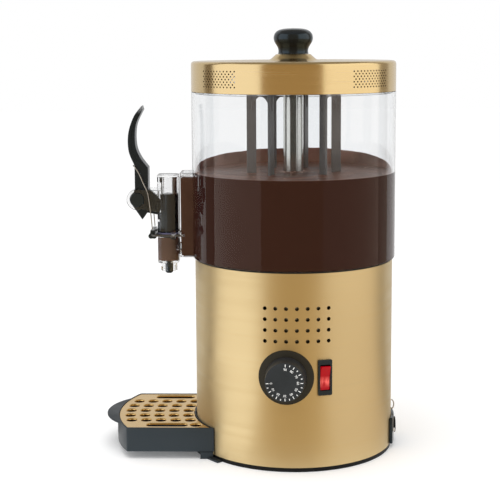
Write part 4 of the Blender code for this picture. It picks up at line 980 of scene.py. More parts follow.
def make_drink():
    """The drink in the tank, its duct and the tap, the film it leaves and its froth."""
    embed = 0.0004
    side = TANK_INSIDE + embed
    profile = [
        (0.0, PAN_DRINK_BOTTOM), (PAN_DRINK_RADIUS, PAN_DRINK_BOTTOM),
        (PAN_DRINK_RADIUS + 0.006, PAN_DRINK_TOP), (NECK_RADIUS, PAN_DRINK_TOP), (NECK_RADIUS, NECK_TOP),
        (side, NECK_TOP + 0.0002), (side, DRINK_TOP - 0.0030), (side, DRINK_TOP - 0.0002),
    ]
    rings = 46
    profile += [(side * (1 - (k / rings) ** 1.1), DRINK_TOP) for k in range(rings)] + [(0.0, DRINK_TOP)]
    drink = turned("drink", profile, 240, shift=ripple)
    settle(drink, "root", "drink", "drink", angle=50.0)
    second_look(drink, "surface", lambda face: face.center.z > DRINK_TOP - 0.001 and face.normal.z > 0.4)

    duct = duct_block("duct_drink", embed, DUCT_DRINK_TOP, -0.1340, 0.0012)
    settle(duct, "root", "drink", "duct")

    bore = TAP_BORE + GAP
    plug_way = 0.0060
    bottom = TAP_BOTTOM + 0.0030
    chamber = [(bore, PISTON_BOTTOM), (bore, bottom), (plug_way, bottom), (plug_way, PISTON_BOTTOM)]
    shot = turned("tap_drink", chamber, 64, Matrix.Translation((0.0, TAP_Y, 0.0)))
    settle(shot, "root", "drink", "milky")

    shape = bmesh.new()
    count = 240
    rows = []
    for k in range(count):
        angle = 2 * math.pi * k / count
        away = max(0.0, -math.cos(angle))
        wave = noise.fractal(around(0.35, math.degrees(angle), 0.0) * 7.0, 0.9, 2.2, 4)
        rise = FILM_LOWEST + FILM_RISE * away ** 0.6 + 0.0016 * wave * (0.3 + away)
        place = [(TANK_INSIDE - 0.00010, DRINK_TOP - 0.0010), (TANK_INSIDE - 0.00045, DRINK_TOP - 0.0010),
                 (TANK_INSIDE - 0.00030, DRINK_TOP + rise * 0.8), (TANK_INSIDE - 0.00010, DRINK_TOP + rise)]
        rows.append([shape.verts.new(around(r, math.degrees(angle), z)) for r, z in place])
    for k in range(count):
        for i in range(4):
            j = (i + 1) % 4
            shape.faces.new((rows[k][i], rows[k][j], rows[k - 1][j], rows[k - 1][i]))
    bmesh.ops.recalc_face_normals(shape, faces=shape.faces)
    film = from_bmesh("drink_film", shape)
    settle(film, "root", "drink", "film", angle=60.0)

    chance = random.Random(11)
    shape = bmesh.new()
    for _ in range(BUBBLES):
        if chance.random() < 0.45:
            distance = COLUMN_RADIUS + 0.001 + 0.012 * chance.random() ** 2
        else:
            distance = 0.030 + 0.100 * chance.random() ** 0.6
        if LEG_SWEEP[0] < distance < LEG_SWEEP[1]:
            distance += LEG_SWEEP[1] - LEG_SWEEP[0]
        degrees = 360.0 * chance.random()
        size = 0.0003 + 0.0009 * chance.random() ** 2
        place = around(distance, degrees, DRINK_TOP + ripple(distance, math.radians(degrees), DRINK_TOP))
        matrix = Matrix.Translation(place) @ Matrix.Diagonal((1.0, 1.0, 0.7, 1.0))
        bmesh.ops.create_icosphere(shape, subdivisions=2, radius=size, matrix=matrix)
    froth = from_bmesh("drink_froth", shape)
    settle(froth, "root", "drink", "froth", angle=80.0)


# ---------------------------------------------------------------- stirrer

FRAME_ANGLES = (-54.0, 66.0, 186.0)
FRAME_RADIUS = 0.0540
LEG_OFFSET = 0.0232
LEG_WIDTH = 0.0130
LEG_THICKNESS = 0.0040
LEG_TWIST = 60.0
LEG_BOTTOM = 0.2800
BRIDGE_BOTTOM = 0.4700
BRIDGE_SHEET = 0.0025
ARM_HALF = 0.0050
ARCH_HALF = 0.0202
ARCH_RISE = 0.0185
HUB_RADIUS = 0.0130


def make_stirrer():
    """Three portal frames of flat strip on a round hub."""
    hub_bottom = low("stirrer_hub").z
    hub = ring("hub", HUB_RADIUS, 0.0043, hub_bottom, high("stirrer_hub").z, 0.0006, 64)
    settle(hub, "stirrer", "steel", "steel", "stirrer_hub")
    top = hub_bottom + 0.0040
    half = LEG_OFFSET + LEG_WIDTH / 2 * math.cos(math.radians(LEG_TWIST))
    outline = [(-half, BRIDGE_BOTTOM), (-half, top), (half, top), (half, BRIDGE_BOTTOM)]
    outline += [
        (ARCH_HALF * x, BRIDGE_BOTTOM + ARCH_RISE * y) for x, y in arc((0.0, 0.0), 1.0, 0.0, 180.0, 28)
    ]
    thin = BRIDGE_SHEET / 2
    thick = LEG_THICKNESS / 2
    for number, degrees in enumerate(FRAME_ANGLES, 1):
        spin = Matrix.Rotation(math.radians(degrees), 4, "Z")
        arm = block(f"portal_{number}", (HUB_RADIUS + GAP, -ARM_HALF, hub_bottom),
                    (FRAME_RADIUS, ARM_HALF, top), 0.0005, spin)
        upright = spin @ side_view((FRAME_RADIUS, 0.0, 0.0))
        tools = [plate("bridge", outline, -thin, thin, 0.0004, upright)]
        for side in (-1.0, 1.0):
            place = Matrix.Translation((FRAME_RADIUS, side * LEG_OFFSET, 0.0))
            turn = Matrix.Rotation(-side * math.radians(LEG_TWIST), 4, "Z")
            tools.append(block("leg", (-thick, -LEG_WIDTH / 2, LEG_BOTTOM),
                               (thick, LEG_WIDTH / 2, top - 0.0005), 0.0007, spin @ place @ turn))
        fuse(arm, *tools)
        settle(arm, "stirrer", "stirrer_plastic", "stirrer", f"stirrer_frame_{number}")


# ---------------------------------------------------------------- tap

BARREL = (0.0310, 0.0290, 0.0060)
GUARD_OUTSIDE = 0.0120
GUARD_INSIDE = 0.0096
YOKE_ROOT = 0.0300
EAR_RADIUS = 0.0145
EAR_INSIDE = 0.0130
EAR_OUTSIDE = 0.0165
PIN_RADIUS = 0.0030
LEVER_HALF = 0.0120
TAB_INSIDE = 0.0140
TAB_OUTSIDE = 0.0307
TAB_START = -0.1680
TAB_END = -0.1620
STEM_RADIUS = 0.0030
PLUG_TOP = 0.2622
# How far the piston reaches into the wall of its bore, so that it looks wet there.
WET = 0.00003


def make_tap():
    """The clear barrel with its yoke, guard and tabs, the seal behind it and the hinge pin."""
    tap = plate("tap_barrel", rectangle(*BARREL, (0.0, TAP_Y), 8), TAP_BOTTOM, TAP_TOP, 0.0008)
    axis = Matrix.Translation((0.0, TAP_Y, 0.0))
    bottom = low("tap_body").z
    guard = ring("guard", GUARD_OUTSIDE, GUARD_INSIDE, bottom, TAP_BOTTOM + 0.0008, 0.0005, 64, axis)
    tools = [guard]
    pivot = side_view(PIVOT)
    end = YOKE_ROOT + 0.00725
    ear = arc((0.0, 0.0), EAR_RADIUS, 90.0, 290.0, 40)
    ear += [(YOKE_ROOT, -0.0180), (end, -0.0180), (end, 0.0130), (0.0275, 0.0130)]
    for side in (-1.0, 1.0):
        inner, outer = sorted((side * EAR_INSIDE, side * EAR_OUTSIDE))
        tools.append(plate("ear", ear, inner, outer, 0.0006, pivot))
        near, far = sorted((side * TAB_INSIDE, side * TAB_OUTSIDE))
        tools.append(block("tab", (near, TAB_START, FORK_HEIGHT - 0.0050),
                           (far, TAB_END, FORK_HEIGHT + 0.0050), 0.0006))
    fuse(tap, *tools)
    cuts = [
        rod("bore", TAP_BORE, TAP_BOTTOM + 0.0030, TAP_TOP - 0.0030, 0.0008, 64, axis),
        rod("nozzle", NOZZLE_RADIUS, TAP_BOTTOM - 0.010, TAP_BOTTOM + 0.010, 0.0, 48, axis),
        rod("port", PORT_RADIUS, 0.0, 0.012, 0.0, 32, facing(90.0, (0.0, TAP_Y + 0.005, PORT_HEIGHT))),
        block("slot", (-0.0056, -0.1960, 0.3180), (0.0056, -0.1760, 0.3700), 0.0008),
        rod("pin_hole", PIN_RADIUS + GAP, -0.03, 0.03, 0.0, 32, pivot),
    ]
    cuts += prong_holes(-0.1650)
    for k in range(3):
        spin = axis @ Matrix.Rotation(math.radians(60.0 * k), 4, "Z")
        cuts.append(block("notch", (-0.020, -0.0018, bottom - 0.002), (0.020, 0.0018, bottom + 0.0060),
                          0.0, spin))
    carve(tap, *cuts)
    settle(tap, "root", "clear_plastic", "tap", "tap_body", angle=30.0)

    seal = ring("port_seal", 0.0115, 0.0080, GAP, 0.0020, 0.0004, 48,
                facing(-90.0, (0.0, DUCT_FRONT, PORT_HEIGHT)))
    settle(seal, "root", "rubber", "rubber", "tap_seal")

    near = EAR_OUTSIDE + GAP
    corners = [(0.0, near + 0.0022), (0.0098, near + 0.0022), (0.0098, near), (PIN_RADIUS, near),
               (PIN_RADIUS, -near), (0.0098, -near), (0.0098, -near - 0.0022), (0.0, -near - 0.0022)]
    bends = (0.0, 0.0014, 0.0003, 0.0, 0.0, 0.0003, 0.0014, 0.0)
    pin = turned("hinge_pin", rounded(corners, bends, closed=False, steps=4), 64, pivot)
    settle(pin, "root", "black_plastic", "black", "pivot_pin")


def make_piston():
    """The piston, wet against its bore, with its seal and the plug that shuts the nozzle."""
    axis = Matrix.Translation((0.0, TAP_Y, 0.0))
    radius = TAP_BORE + WET
    seal = (low("piston_seal").z + high("piston_seal").z) / 2
    top = high("piston").z
    deep = radius - 0.0016
    corners = [
        (0.0, top), (radius, top), (radius, seal + 0.0016), (deep, seal + 0.0016), (deep, seal - 0.0016),
        (radius, seal - 0.0016), (radius, PISTON_BOTTOM), (STEM_RADIUS, PISTON_BOTTOM),
        (STEM_RADIUS, PLUG_TOP + GAP), (0.0, PLUG_TOP + GAP),
    ]
    bends = (0.0, 0.0012, 0.0003, 0.0, 0.0, 0.0003, 0.0006, 0.0008, 0.0, 0.0)
    piston = turned("tap_piston", rounded(corners, bends, closed=False, steps=4), 64, axis)
    carve(piston, block("slot", (-0.0048, -0.0140, 0.3150), (0.0048, -0.0015, 0.3480), 0.0008, axis))
    settle(piston, "piston", "black_plastic", "black", "piston")

    lip = radius + 0.0001
    corners = [(lip, seal + 0.0010), (lip, seal - 0.0010), (deep + GAP, seal - 0.0013),
               (deep + GAP, seal + 0.0013)]
    ring_seal = turned("lip_seal", rounded(corners, 0.0004, steps=3), 64, axis)
    settle(ring_seal, "piston", "seal_grey", "seal", "piston_seal")

    corners = [(0.0, PLUG_TOP), (0.0056, PLUG_TOP), (0.0056, 0.2440), (0.0040, 0.2420), (0.0, 0.2420)]
    plug = turned("plug", rounded(corners, 0.0007, closed=False, steps=3), 48, axis)
    settle(plug, "piston", "black_plastic", "black", "nozzle_plug")


def make_lever():
    """The pull lever: a curved handle with sunk sides, its hub, pointed stop and lifting nose."""
    front = smooth_path([(0.0075, 0.1290), (-0.0040, 0.1135), (-0.0115, 0.0905), (-0.0112, 0.0665),
                         (-0.0035, 0.0470)], 8)
    back = smooth_path([(0.0150, 0.0440), (0.0040, 0.0590), (-0.0018, 0.0760), (-0.0008, 0.1020),
                        (0.0090, 0.1235)], 8)
    hub = arc((0.0, 0.0), 0.0108, 120.0, 225.0, 16)
    outline = front + [(-0.0035, 0.0150)] + hub + [(0.0063, -0.0282), (0.0150, -0.0160), (0.0150, 0.0160)]
    outline += back
    pivot = side_view(PIVOT)
    lever = plate("pull_lever", outline, -LEVER_HALF, LEVER_HALF, 0.0009, pivot)
    nose = [(0.0100, -0.0190), (0.0265, -0.0222)] + arc((0.0330, -0.0077), 0.0040, -70.0, 90.0, 14)
    nose += [(0.0265, 0.0043), (0.0130, 0.0155), (0.0100, 0.0120)]
    fuse(lever, plate("nose", nose, -0.0040, 0.0040, 0.0006, pivot))
    cuts = [rod("hole", PIN_RADIUS + GAP, -0.02, 0.02, 0.0, 32, pivot)]
    notch = side_view(PIVOT + Vector((0.0, -0.0048, 0.0467)))
    cuts.append(rod("notch", 0.0016, -0.02, 0.02, 0.0, 16, notch))
    sunk = smooth_path([(0.0050, 0.1190), (-0.0028, 0.1060), (-0.0071, 0.0900), (-0.0072, 0.0690),
                        (-0.0010, 0.0535)], 8)
    sunk += smooth_path([(0.0075, 0.0500), (0.0012, 0.0600), (-0.0045, 0.0760), (-0.0040, 0.0960),
                         (0.0040, 0.1150)], 8)
    for side in (-1.0, 1.0):
        inner, outer = sorted((side * (LEVER_HALF - 0.0008), side * (LEVER_HALF + 0.002)))
        cuts.append(plate("sunk", sunk, inner, outer, 0.0, pivot))
    carve(lever, *cuts)
    settle(lever, "lever", "black_plastic", "lever", "lever", angle=30.0)


def make_spring():
    """The hairpin spring from the lever to the fork's peg, the fork and the peg."""
    bridge = [(0.0, -0.0049, 0.0467), (0.0075, -0.0049, 0.0467), (0.0130, -0.0049, 0.0467),
              (0.0168, -0.0022, 0.0450)]
    leg = [(0.0180, 0.0035, 0.0360), (0.0180, 0.0088, 0.0235), (0.0180, 0.0149, 0.0091),
           (0.0180, 0.0176, -0.0087), (0.0180, 0.0194, -0.0260), (0.0180, 0.0205, -0.0412)]
    right = bridge + leg
    left = [(-x, y, z) for x, y, z in reversed(right[1:])]
    path = [tuple(PIVOT + Vector(point)) for point in smooth_path(left + right, 5)]
    spring = wire("hairpin_spring", path, 0.00075, 3)
    shade(spring, 40.0)
    spring.data.materials.append(looks["spring"])
    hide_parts("lever_spring")
    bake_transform(spring)

    front = low("retaining_fork").y + 0.0015
    half = FORK_HALF
    corner = 0.0060
    path = [(-half, -0.1510)] + arc((-half + corner, front + corner), corner, 180.0, 270.0, 8)
    path += arc((half - corner, front + corner), corner, 270.0, 360.0, 8) + [(half, -0.1510)]
    fork = wire("wire_fork", [(x, y, FORK_HEIGHT) for x, y in path], FORK_WIRE, 4)
    settle(fork, "root", "steel", "dark_wire", "retaining_fork")

    outline = arc((-0.0022, -0.0022), 0.0036, 110.0, 290.0, 14)
    outline += arc((0.0022, -0.0022), 0.0036, 250.0, 430.0, 14) + [(0.0028, 0.0060), (-0.0028, 0.0060)]
    half = high("spring_peg").x
    peg = plate("double_peg", outline, -half, half, 0.0006, side_view((0.0, front, FORK_HEIGHT)))
    carve(peg, rod("groove", PRONG_HOLE, -0.04, 0.04, 0.0, 16, side_view((0.0, front, FORK_HEIGHT))))
    settle(peg, "root", "black_plastic", "black", "spring_peg")


# ---------------------------------------------------------------- controls

BEZEL_RADIUS = 0.0365
# The black bezel reaches in under the knob to this radius, so that the gap round the knob shows black: a dark
# sheet standing in for the shade that the knob casts.
BEZEL_HOLE = 0.0100
BEZEL_HEIGHT = 0.0009
DIAL_FACE_RADIUS = 0.0255
DIAL_FACE = 0.0262
TICK_FIRST = 2.6
TICK_LAST = 266.1
TICKS = 19
# From where to where the ticks reach, measured from the knob's axis.
LONG_TICK = (0.0207, 0.0242)
SHORT_TICK = (0.0218, 0.0240)
FIGURE_PLACE = 0.0172
FIGURE_SIZE = 0.0043
PRINT = 0.00008
SWITCH_FRAME = (0.0194, 0.0476)
SWITCH_DEPTH = 0.0250
ROCKER_HALF_WIDTH = 0.0065
ROCKER_HALF_HEIGHT = 0.0165


def make_dial():
    """The ring on the body, which reaches in under the knob as painted shade, and the knob with its scale of
    ticks and numbers.
    """
    shape = bmesh.new()
    rings = rounded([(BEZEL_HOLE, GAP), (BEZEL_HOLE, BEZEL_HEIGHT), (BEZEL_RADIUS, BEZEL_HEIGHT),
                     (BEZEL_RADIUS, GAP)], 0.0003, steps=2)
    count = 96
    rows = []
    for radius, height in rings:
        row = []
        for k in range(count):
            x, y = radius * math.cos(2 * math.pi * k / count), radius * math.sin(2 * math.pi * k / count)
            degrees = DIAL_ANGLE + math.degrees(math.asin(x / (BODY_RADIUS + height)))
            row.append(shape.verts.new(around(BODY_RADIUS + height, degrees, DIAL_PLACE.z + y)))
        rows.append(row)
    for i, row in enumerate(rows):
        for k in range(count):
            shape.faces.new((row[k], row[k - 1], rows[i - 1][k - 1], rows[i - 1][k]))
    bmesh.ops.recalc_face_normals(shape, faces=shape.faces)
    bezel = from_bmesh("dial_ring", shape)
    settle(bezel, "root", "black_plastic", "bezel", "dial_bezel")

    axis = facing(DIAL_ANGLE, DIAL_PLACE)
    foot = BEZEL_HEIGHT + GAP
    face = DIAL_FACE
    corners = [
        (0.0, face), (DIAL_FACE_RADIUS, face), (0.0275, foot), (0.0255, foot), (0.0233, face - 0.0030),
        (0.0070, face - 0.0030), (0.0070, foot + 0.0020), (0.0033, foot + 0.0020), (0.0033, face - 0.0060),
        (0.0, face - 0.0060),
    ]
    bends = (0.0, 0.0014, 0.0006, 0.0005, 0.0010, 0.0005, 0.0005, 0.0003, 0.0, 0.0)
    knob = turned("dial", rounded(corners, bends, closed=False, steps=4), 96, axis)
    settle(knob, "dial", "grey_knob", "dial", "dial_knob")

    marks = []
    for number in range(TICKS):
        clockwise = TICK_FIRST + (TICK_LAST - TICK_FIRST) * number / (TICKS - 1)
        turn = axis @ Matrix.Rotation(-math.radians(clockwise), 4, "Z")
        long_tick = number % 2 == 0
        start, end = LONG_TICK if long_tick else SHORT_TICK
        marks.append(block("tick", (-0.0005, start, face - 0.0001), (0.0005, end, face + PRINT),
                           0.0, turn))
        if long_tick:
            text = bpy.data.curves.new("figure", "FONT")
            text.body = str(5 * (TICKS - 1 - number))
            text.size = FIGURE_SIZE
            text.extrude = PRINT
            text.offset = 0.00002
            text.align_x = "CENTER"
            text.align_y = "CENTER"
            figure = curve_piece("figure", text)
            figure.data.transform(turn @ Matrix.Translation((0.0, FIGURE_PLACE, face)))
            marks.append(figure)
    scale = joined("dial_scale", marks)
    settle(scale, "dial", "grey_knob", "print")


def make_switch():
    """The switch's frame and its lit rocker."""
    axis = facing(SWITCH_ANGLE, SWITCH_PLACE)
    body = plate("switch_frame", rectangle(*SWITCH_FRAME, 0.0016), GAP, 0.0026, 0.0006, axis)
    fuse(body, block("barrel", (-0.0074, -0.0210, -SWITCH_DEPTH), (0.0074, 0.0210, 0.0010), 0.0, axis))
    carve(body, block("pocket", (-0.0069, -0.0173, -0.0100), (0.0069, 0.0173, 0.0100), 0.0, axis))
    settle(body, "root", "black_plastic", "black", "switch_body")

    half = ROCKER_HALF_HEIGHT
    tilt = math.radians(10.0)
    rise = half * math.tan(tilt)
    crown = 0.0012
    upper = [(-half, crown + rise), (-half * 0.55, crown + rise * 0.38), (0.0, crown),
             (half * 0.55, crown + rise * 0.38), (half, crown + rise)]
    section = rounded(
        smooth_path(upper, 4) + [(half - 0.0010, -0.0010), (0.0040, -0.0050), (-0.0040, -0.0050),
                                 (-half + 0.0010, -0.0010)], 0.0006, steps=2)
    rocker = plate("lit_rocker", section, -ROCKER_HALF_WIDTH, ROCKER_HALF_WIDTH, 0.0008)
    for vertex in rocker.data.vertices:
        along, out, side = vertex.co
        vertex.co = (side, along * math.cos(tilt) - out * math.sin(tilt),
                     along * math.sin(tilt) + out * math.cos(tilt))
    rocker.data.transform(axis)
    settle(rocker, "rocker", "red_lens", "lens", "switch_rocker", angle=30.0)


# ---------------------------------------------------------------- drip tray

TONGUE_FRONT = 0.2640
TONGUE_RADIUS = 0.0810
TONGUE_HALF = 0.0600
TRAY_WALL = 0.0026
BRACKET_WIDTH = 0.0080
BRACKET_SHEET = 0.0028
FIN_THICKNESS = 0.0030


def tray_front(x, distance, radius):
    """The Y of a curved front at x, whose apex is this far from the tank's axis."""
    return -(distance - radius + math.sqrt(radius ** 2 - x ** 2))


def tray_outline(inset, steps=40, corner=0.0):
    """The tray's plan moved inwards: curved front, straight sides, and a back round the body."""
    half = TRAY_HALF - inset
    back = BODY_RADIUS + 0.0010 + inset
    across = [half * (2 * k / steps - 1) for k in range(steps + 1)]
    front = [(x, tray_front(x, TRAY_FRONT - inset, TRAY_FRONT_RADIUS)) for x in across]
    rear = [(x, -math.sqrt(back ** 2 - x ** 2)) for x in reversed(across)]
    if corner:
        front = front[1:-1]
        middle = (half, tray_front(half, TRAY_FRONT - inset, TRAY_FRONT_RADIUS))
        turn = rounded([front[-1], middle, rear[0]], (0.0, corner, 0.0), closed=False, steps=4)[1:-1]
        front = [(-x, y) for x, y in reversed(turn)] + front + turn
    return front + rear


def make_tray():
    """The drip tray with its tongue, and the bracket under it."""
    tray = plate("tray", tray_outline(0.0, 40, 0.0030), TRAY_BOTTOM, TRAY_TOP, 0.0008)
    ledge = low("drip_grille").z - GAP
    across = [TONGUE_HALF * (k / 20 - 1) for k in range(41)]
    tongue = [(x, tray_front(x, TONGUE_FRONT, TONGUE_RADIUS)) for x in across]
    tongue += [(0.0450, -0.2400), (-0.0450, -0.2400)]
    fuse(tray, plate("tongue", tongue, TRAY_TOP - 0.0030, TRAY_TOP - 0.0001, 0.0009))
    carve(
        tray,
        plate("recess", tray_outline(0.0020, 40, 0.0020), ledge, TRAY_TOP + 0.010),
        plate("neck", tray_outline(0.0050, 40, 0.0020), ledge - 0.0060, TRAY_TOP + 0.005),
        plate("basin", tray_outline(TRAY_WALL, 40, 0.0020), TRAY_BOTTOM + TRAY_WALL, ledge - 0.0050),
    )
    settle(tray, "tray", "tray_plastic", "tray", "drip_tray", angle=30.0)

    outer = TRAY_HALF + 0.0005
    inside = BODY_RADIUS + GAP
    sweep = 45.0
    strip = arc((0.0, 0.0), inside + BRACKET_WIDTH, 270.0 - sweep, 270.0 + sweep, 40)
    strip += arc((0.0, 0.0), inside, 270.0 + sweep, 270.0 - sweep, 40)
    bracket = plate("tray_support", strip, GAP, BRACKET_SHEET, 0.0006)
    back = -math.sqrt(inside ** 2 - (outer - FIN_THICKNESS) ** 2) - GAP
    fins = []
    for side in (-1.0, 1.0):
        near, far = sorted((side * (outer - FIN_THICKNESS), side * outer))
        fins.append(block("fin", (near, -0.1270, GAP), (far, back, TRAY_BOTTOM - GAP), 0.0006))
    fuse(bracket, *fins)
    settle(bracket, "root", "tray_plastic", "tray", "tray_bracket")


DRAIN_RADIUS = 0.0070
DRAIN_PRESS = 0.0021
GRILLE_SHEET = 0.0009
DRAIN_ARCS = (0.2305, 0.2103, 0.1900, 0.1695, 0.1490)
DRAIN_ROWS = (-0.0460, -0.0235, 0.0, 0.0235, 0.0460)
SLOT_ROW = 0.0685


def make_grille():
    """The gold grille: a thin sheet whose drain holes are pressed down into smooth collars."""
    press = DRAIN_PRESS
    outlines = []
    for x in DRAIN_ROWS:
        for apex in DRAIN_ARCS:
            outlines.append(((x, tray_front(x, apex, TRAY_FRONT_RADIUS)), 0.0))
    for side in (-1.0, 1.0):
        outlines.append(((side * SLOT_ROW, -0.1340), 0.0))
        outlines.append(((side * SLOT_ROW, -0.1735), 0.0280 - DRAIN_RADIUS))
    shape = bmesh.new()
    rim = tray_outline(0.0030, 40, 0.0020)
    loops = [[shape.verts.new((x, y, GRILLE_TOP)) for x, y in rim]]
    steps = 12
    collars = []
    for (x, y), reach in outlines:
        loop = []
        for bx, by in arc((0.0, 0.0), 1.0, 0.0, 360.0, 2 * steps)[:-1]:
            stretch = math.copysign(reach, by) if abs(by) > 1e-6 else 0.0
            loop.append((Vector((x, y + stretch)), Vector((bx, by))))
        collars.append(loop)
        loops.append([
            shape.verts.new((*(c + d * (DRAIN_RADIUS + press)), GRILLE_TOP)) for c, d in loop
        ])
    edges = []
    for loop in loops:
        edges += [shape.edges.new((loop[k - 1], loop[k])) for k in range(len(loop))]
    bmesh.ops.triangle_fill(shape, use_beauty=True, use_dissolve=False, edges=edges, normal=(0, 0, 1))
    for loop, top in zip(collars, loops[1:]):
        above = top
        for degrees in (20.0, 40.0, 60.0, 80.0, 95.0):
            angle = math.radians(min(degrees, 90.0))
            radius = DRAIN_RADIUS + press * (1 - math.sin(angle))
            drop = press * (1 - math.cos(angle)) + (0.0006 if degrees > 90.0 else 0.0)
            below = [shape.verts.new((*(c + d * radius), GRILLE_TOP - drop)) for c, d in loop]
            for k in range(len(loop)):
                shape.faces.new((above[k - 1], above[k], below[k], below[k - 1]))
            above = below
    bmesh.ops.recalc_face_normals(shape, faces=shape.faces)
    if sum(face.normal.z for face in shape.faces) < 0.0:
        bmesh.ops.reverse_faces(shape, faces=shape.faces)
    grille = from_bmesh("pressed_grille", shape)
    thick = grille.modifiers.new("sheet", "SOLIDIFY")
    thick.thickness = GRILLE_SHEET
    thick.offset = -1.0
    apply_modifiers(grille)
    settle(grille, "grille", "gold_steel", "grille_gold", "drip_grille", angle=50.0)


# ---------------------------------------------------------------- pieces kept from the frame

KEPT = {
    "steel": ("bath_pan", "product_pan", "heater_ring", "motor_bracket", "column_nut", "drive_shaft",
              "hub_nut", "knob_screw", "dial_spindle", "bracket_screw_1", "bracket_screw_2",
              "bracket_screw_3", "bracket_screw_4"),
    "black": ("gearbox", "shaft_coupling", "safety_thermostat", "thermostat"),
    "tap": ("column_bush", "terminal_block"),
    "rubber": ("foot_pad_1", "foot_pad_2", "foot_pad_3", "foot_pad_4"),
    "case": ("stirrer_motor",),
}


def finish_kept():
    """Give every inner piece that stays from the frame its material."""
    for look, names in KEPT.items():
        for name in names:
            node = frame["nodes"][name]
            node.data.materials.clear()
            node.data.materials.append(looks[look])


# ---------------------------------------------------------------- stage, light and camera

CARD_NEAR = 0.17
CARD_DISTANCE = 1.50
CARD_SPLIT = 0.30
CARD_HEIGHT = 1.9
APRON_HEIGHT = 0.0005
APRON = [(CARD_NEAR, APRON_HEIGHT), (CARD_DISTANCE, APRON_HEIGHT), (CARD_DISTANCE, CARD_SPLIT)]
WALL = [(CARD_DISTANCE, CARD_SPLIT), (CARD_DISTANCE, CARD_HEIGHT)]
# Cards round the machine, seen only in its reflections. From and to are degrees left (-) or right (+) of
# the camera's side, then come the light of the upright card and of the apron at its foot.
CARDS = {
    "front_card": (-34.5, 31.0, (0.43, 0.305, 0.162), (0.72, 0.565, 0.345)),
    "left_softbox": (-96.0, -34.5, (1.36, 1.36, 1.36), (1.38, 1.36, 1.34)),
    "right_softbox": (31.0, 105.0, (1.50, 1.46, 1.36), (0.84, 0.73, 0.62)),
    "left_flag": (-112.0, -96.0, (0.24, 0.20, 0.15), (0.24, 0.20, 0.15)),
    "right_flag": (105.0, 125.0, (0.40, 0.36, 0.30), (0.40, 0.36, 0.30)),
    "back_card": (125.0, 248.0, (0.80, 0.80, 0.80), (0.80, 0.80, 0.80)),
}
# Neutral cards in the same places, seen only through clear plastic.
CLEAR_CARDS = {
    "clear_front": (-36.0, 35.0, (0.070, 0.075, 0.070)),
    "clear_left": (-96.0, -36.0, (1.25, 1.25, 1.25)),
    "clear_right": (35.0, 105.0, (1.10, 1.10, 1.10)),
    "clear_left_flag": (-112.0, -96.0, (0.26, 0.26, 0.25)),
    "clear_right_flag": (105.0, 125.0, (0.34, 0.34, 0.33)),
}
CEILING = (0.34, 0.31, 0.26)
FLOOR_RADIUS = 9.0
FLOOR_GLOW = 0.12
LAMP_SIDE = 1.4
LAMP_WATTS = 12.0
LAMP_PLACE = (0.5, -0.3, 1.9)
LAMP_AIM = Vector((0.0, 0.0, 0.2))
CAMERA_PLACE = (1.7330, -0.0081, 0.5600)
CAMERA_LENS = 90.6
CAMERA_SHIFT = -0.08


def glow(name, colour):
    """A surface that gives off this light."""
    look = bpy.data.materials.new(name)
    look.use_nodes = True
    tree = look.node_tree
    tree.nodes.remove(tree.nodes["Principled BSDF"])
    light = tree.nodes.new("ShaderNodeEmission")
    light.inputs["Color"].default_value = (*colour, 1.0)
    tree.links.new(light.outputs[0], tree.nodes["Material Output"].inputs["Surface"])
    return look


def hide_card(card, colour, through=False):
    """Make the card a stage piece seen only in reflections, or only through clear plastic."""
    card.data.materials.append(glow(card.name, colour))
    card.visible_camera = False
    card.visible_diffuse = False
    card.visible_shadow = False
    card.visible_glossy = not through
    card.visible_transmission = through


def make_card(name, start, end, profile, colour, through=False):
    """A card that follows this (distance, height) profile over a sector round the machine."""
    shape = bmesh.new()
    steps = max(4, round((end - start) / 4))
    rows = []
    for k in range(steps + 1):
        degrees = start + (end - start) * k / steps
        rows.append([shape.verts.new(around(distance, degrees, z)) for distance, z in profile])
    for first, second in zip(rows, rows[1:]):
        for i in range(len(profile) - 1):
            shape.faces.new((first[i], second[i], second[i + 1], first[i + 1]))
    hide_card(from_bmesh(name, shape), colour, through)


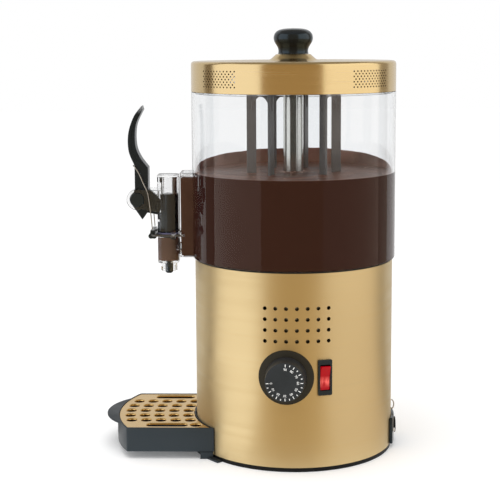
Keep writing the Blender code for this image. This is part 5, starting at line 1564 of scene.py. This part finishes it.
def make_stage():
    """A white floor, a white surround, cards that shape the reflections, and a lamp overhead."""
    scene = bpy.context.scene
    scene.view_settings.view_transform = "Standard"
    world = bpy.data.worlds.new("surround")
    scene.world = world
    world.use_nodes = True
    world.node_tree.nodes["Background"].inputs["Color"].default_value = (1.0, 1.0, 1.0, 1.0)
    world.node_tree.nodes["Background"].inputs["Strength"].default_value = 1.0

    floor = disc("floor", FLOOR_RADIUS, 64)
    paper = new_look("floor_paper", (0.90, 0.90, 0.90), 0.9, specular_ior_level=0.0)
    mottle = blend_colours(paper, grain(paper, 40.0), (0.89, 0.89, 0.89), (0.91, 0.91, 0.91))
    feed(paper, "Base Color", mottle)
    shader = shader_of(paper)
    shader.inputs["Emission Color"].default_value = (1.0, 1.0, 1.0, 1.0)
    shader.inputs["Emission Strength"].default_value = FLOOR_GLOW
    floor.data.materials.append(paper)

    for name, (start, end, upright, foot) in CARDS.items():
        make_card(name, start, end, WALL, upright)
        make_card(name + "_apron", start, end, APRON, foot)
    for name, (start, end, colour) in CLEAR_CARDS.items():
        make_card(name, start, end, APRON[:2] + WALL[1:], colour, True)
    hide_card(disc("ceiling_card", CARD_DISTANCE, 48, CARD_HEIGHT), CEILING)

    lamp = bpy.data.lights.new("overhead_light", "AREA")
    lamp.shape = "RECTANGLE"
    lamp.size = LAMP_SIDE
    lamp.size_y = LAMP_SIDE
    lamp.energy = LAMP_WATTS
    holder = new_object("overhead_light", lamp)
    holder.location = LAMP_PLACE
    holder.rotation_euler = (LAMP_AIM - holder.location).to_track_quat("-Z", "Y").to_euler()
    holder.visible_glossy = False


def make_camera():
    """The camera, level with the lid's knob, facing the controls."""
    camera = new_object("camera", bpy.data.cameras.new("camera"))
    camera.data.lens = CAMERA_LENS
    camera.data.sensor_width = 36.0
    camera.data.shift_y = CAMERA_SHIFT
    camera.location = CAMERA_PLACE
    pitch = 0.1318
    yaw = 0.0294
    roll = 0.0055
    camera.rotation_euler = (math.pi / 2 - pitch, roll, math.pi / 2 + yaw)
    bpy.context.scene.camera = camera


make_camera()
make_stage()
make_body()
make_rear()
make_lid()
make_tank()
make_drink()
make_stirrer()
make_tap()
make_piston()
make_lever()
make_spring()
make_dial()
make_switch()
make_tray()
make_grille()
finish_kept()
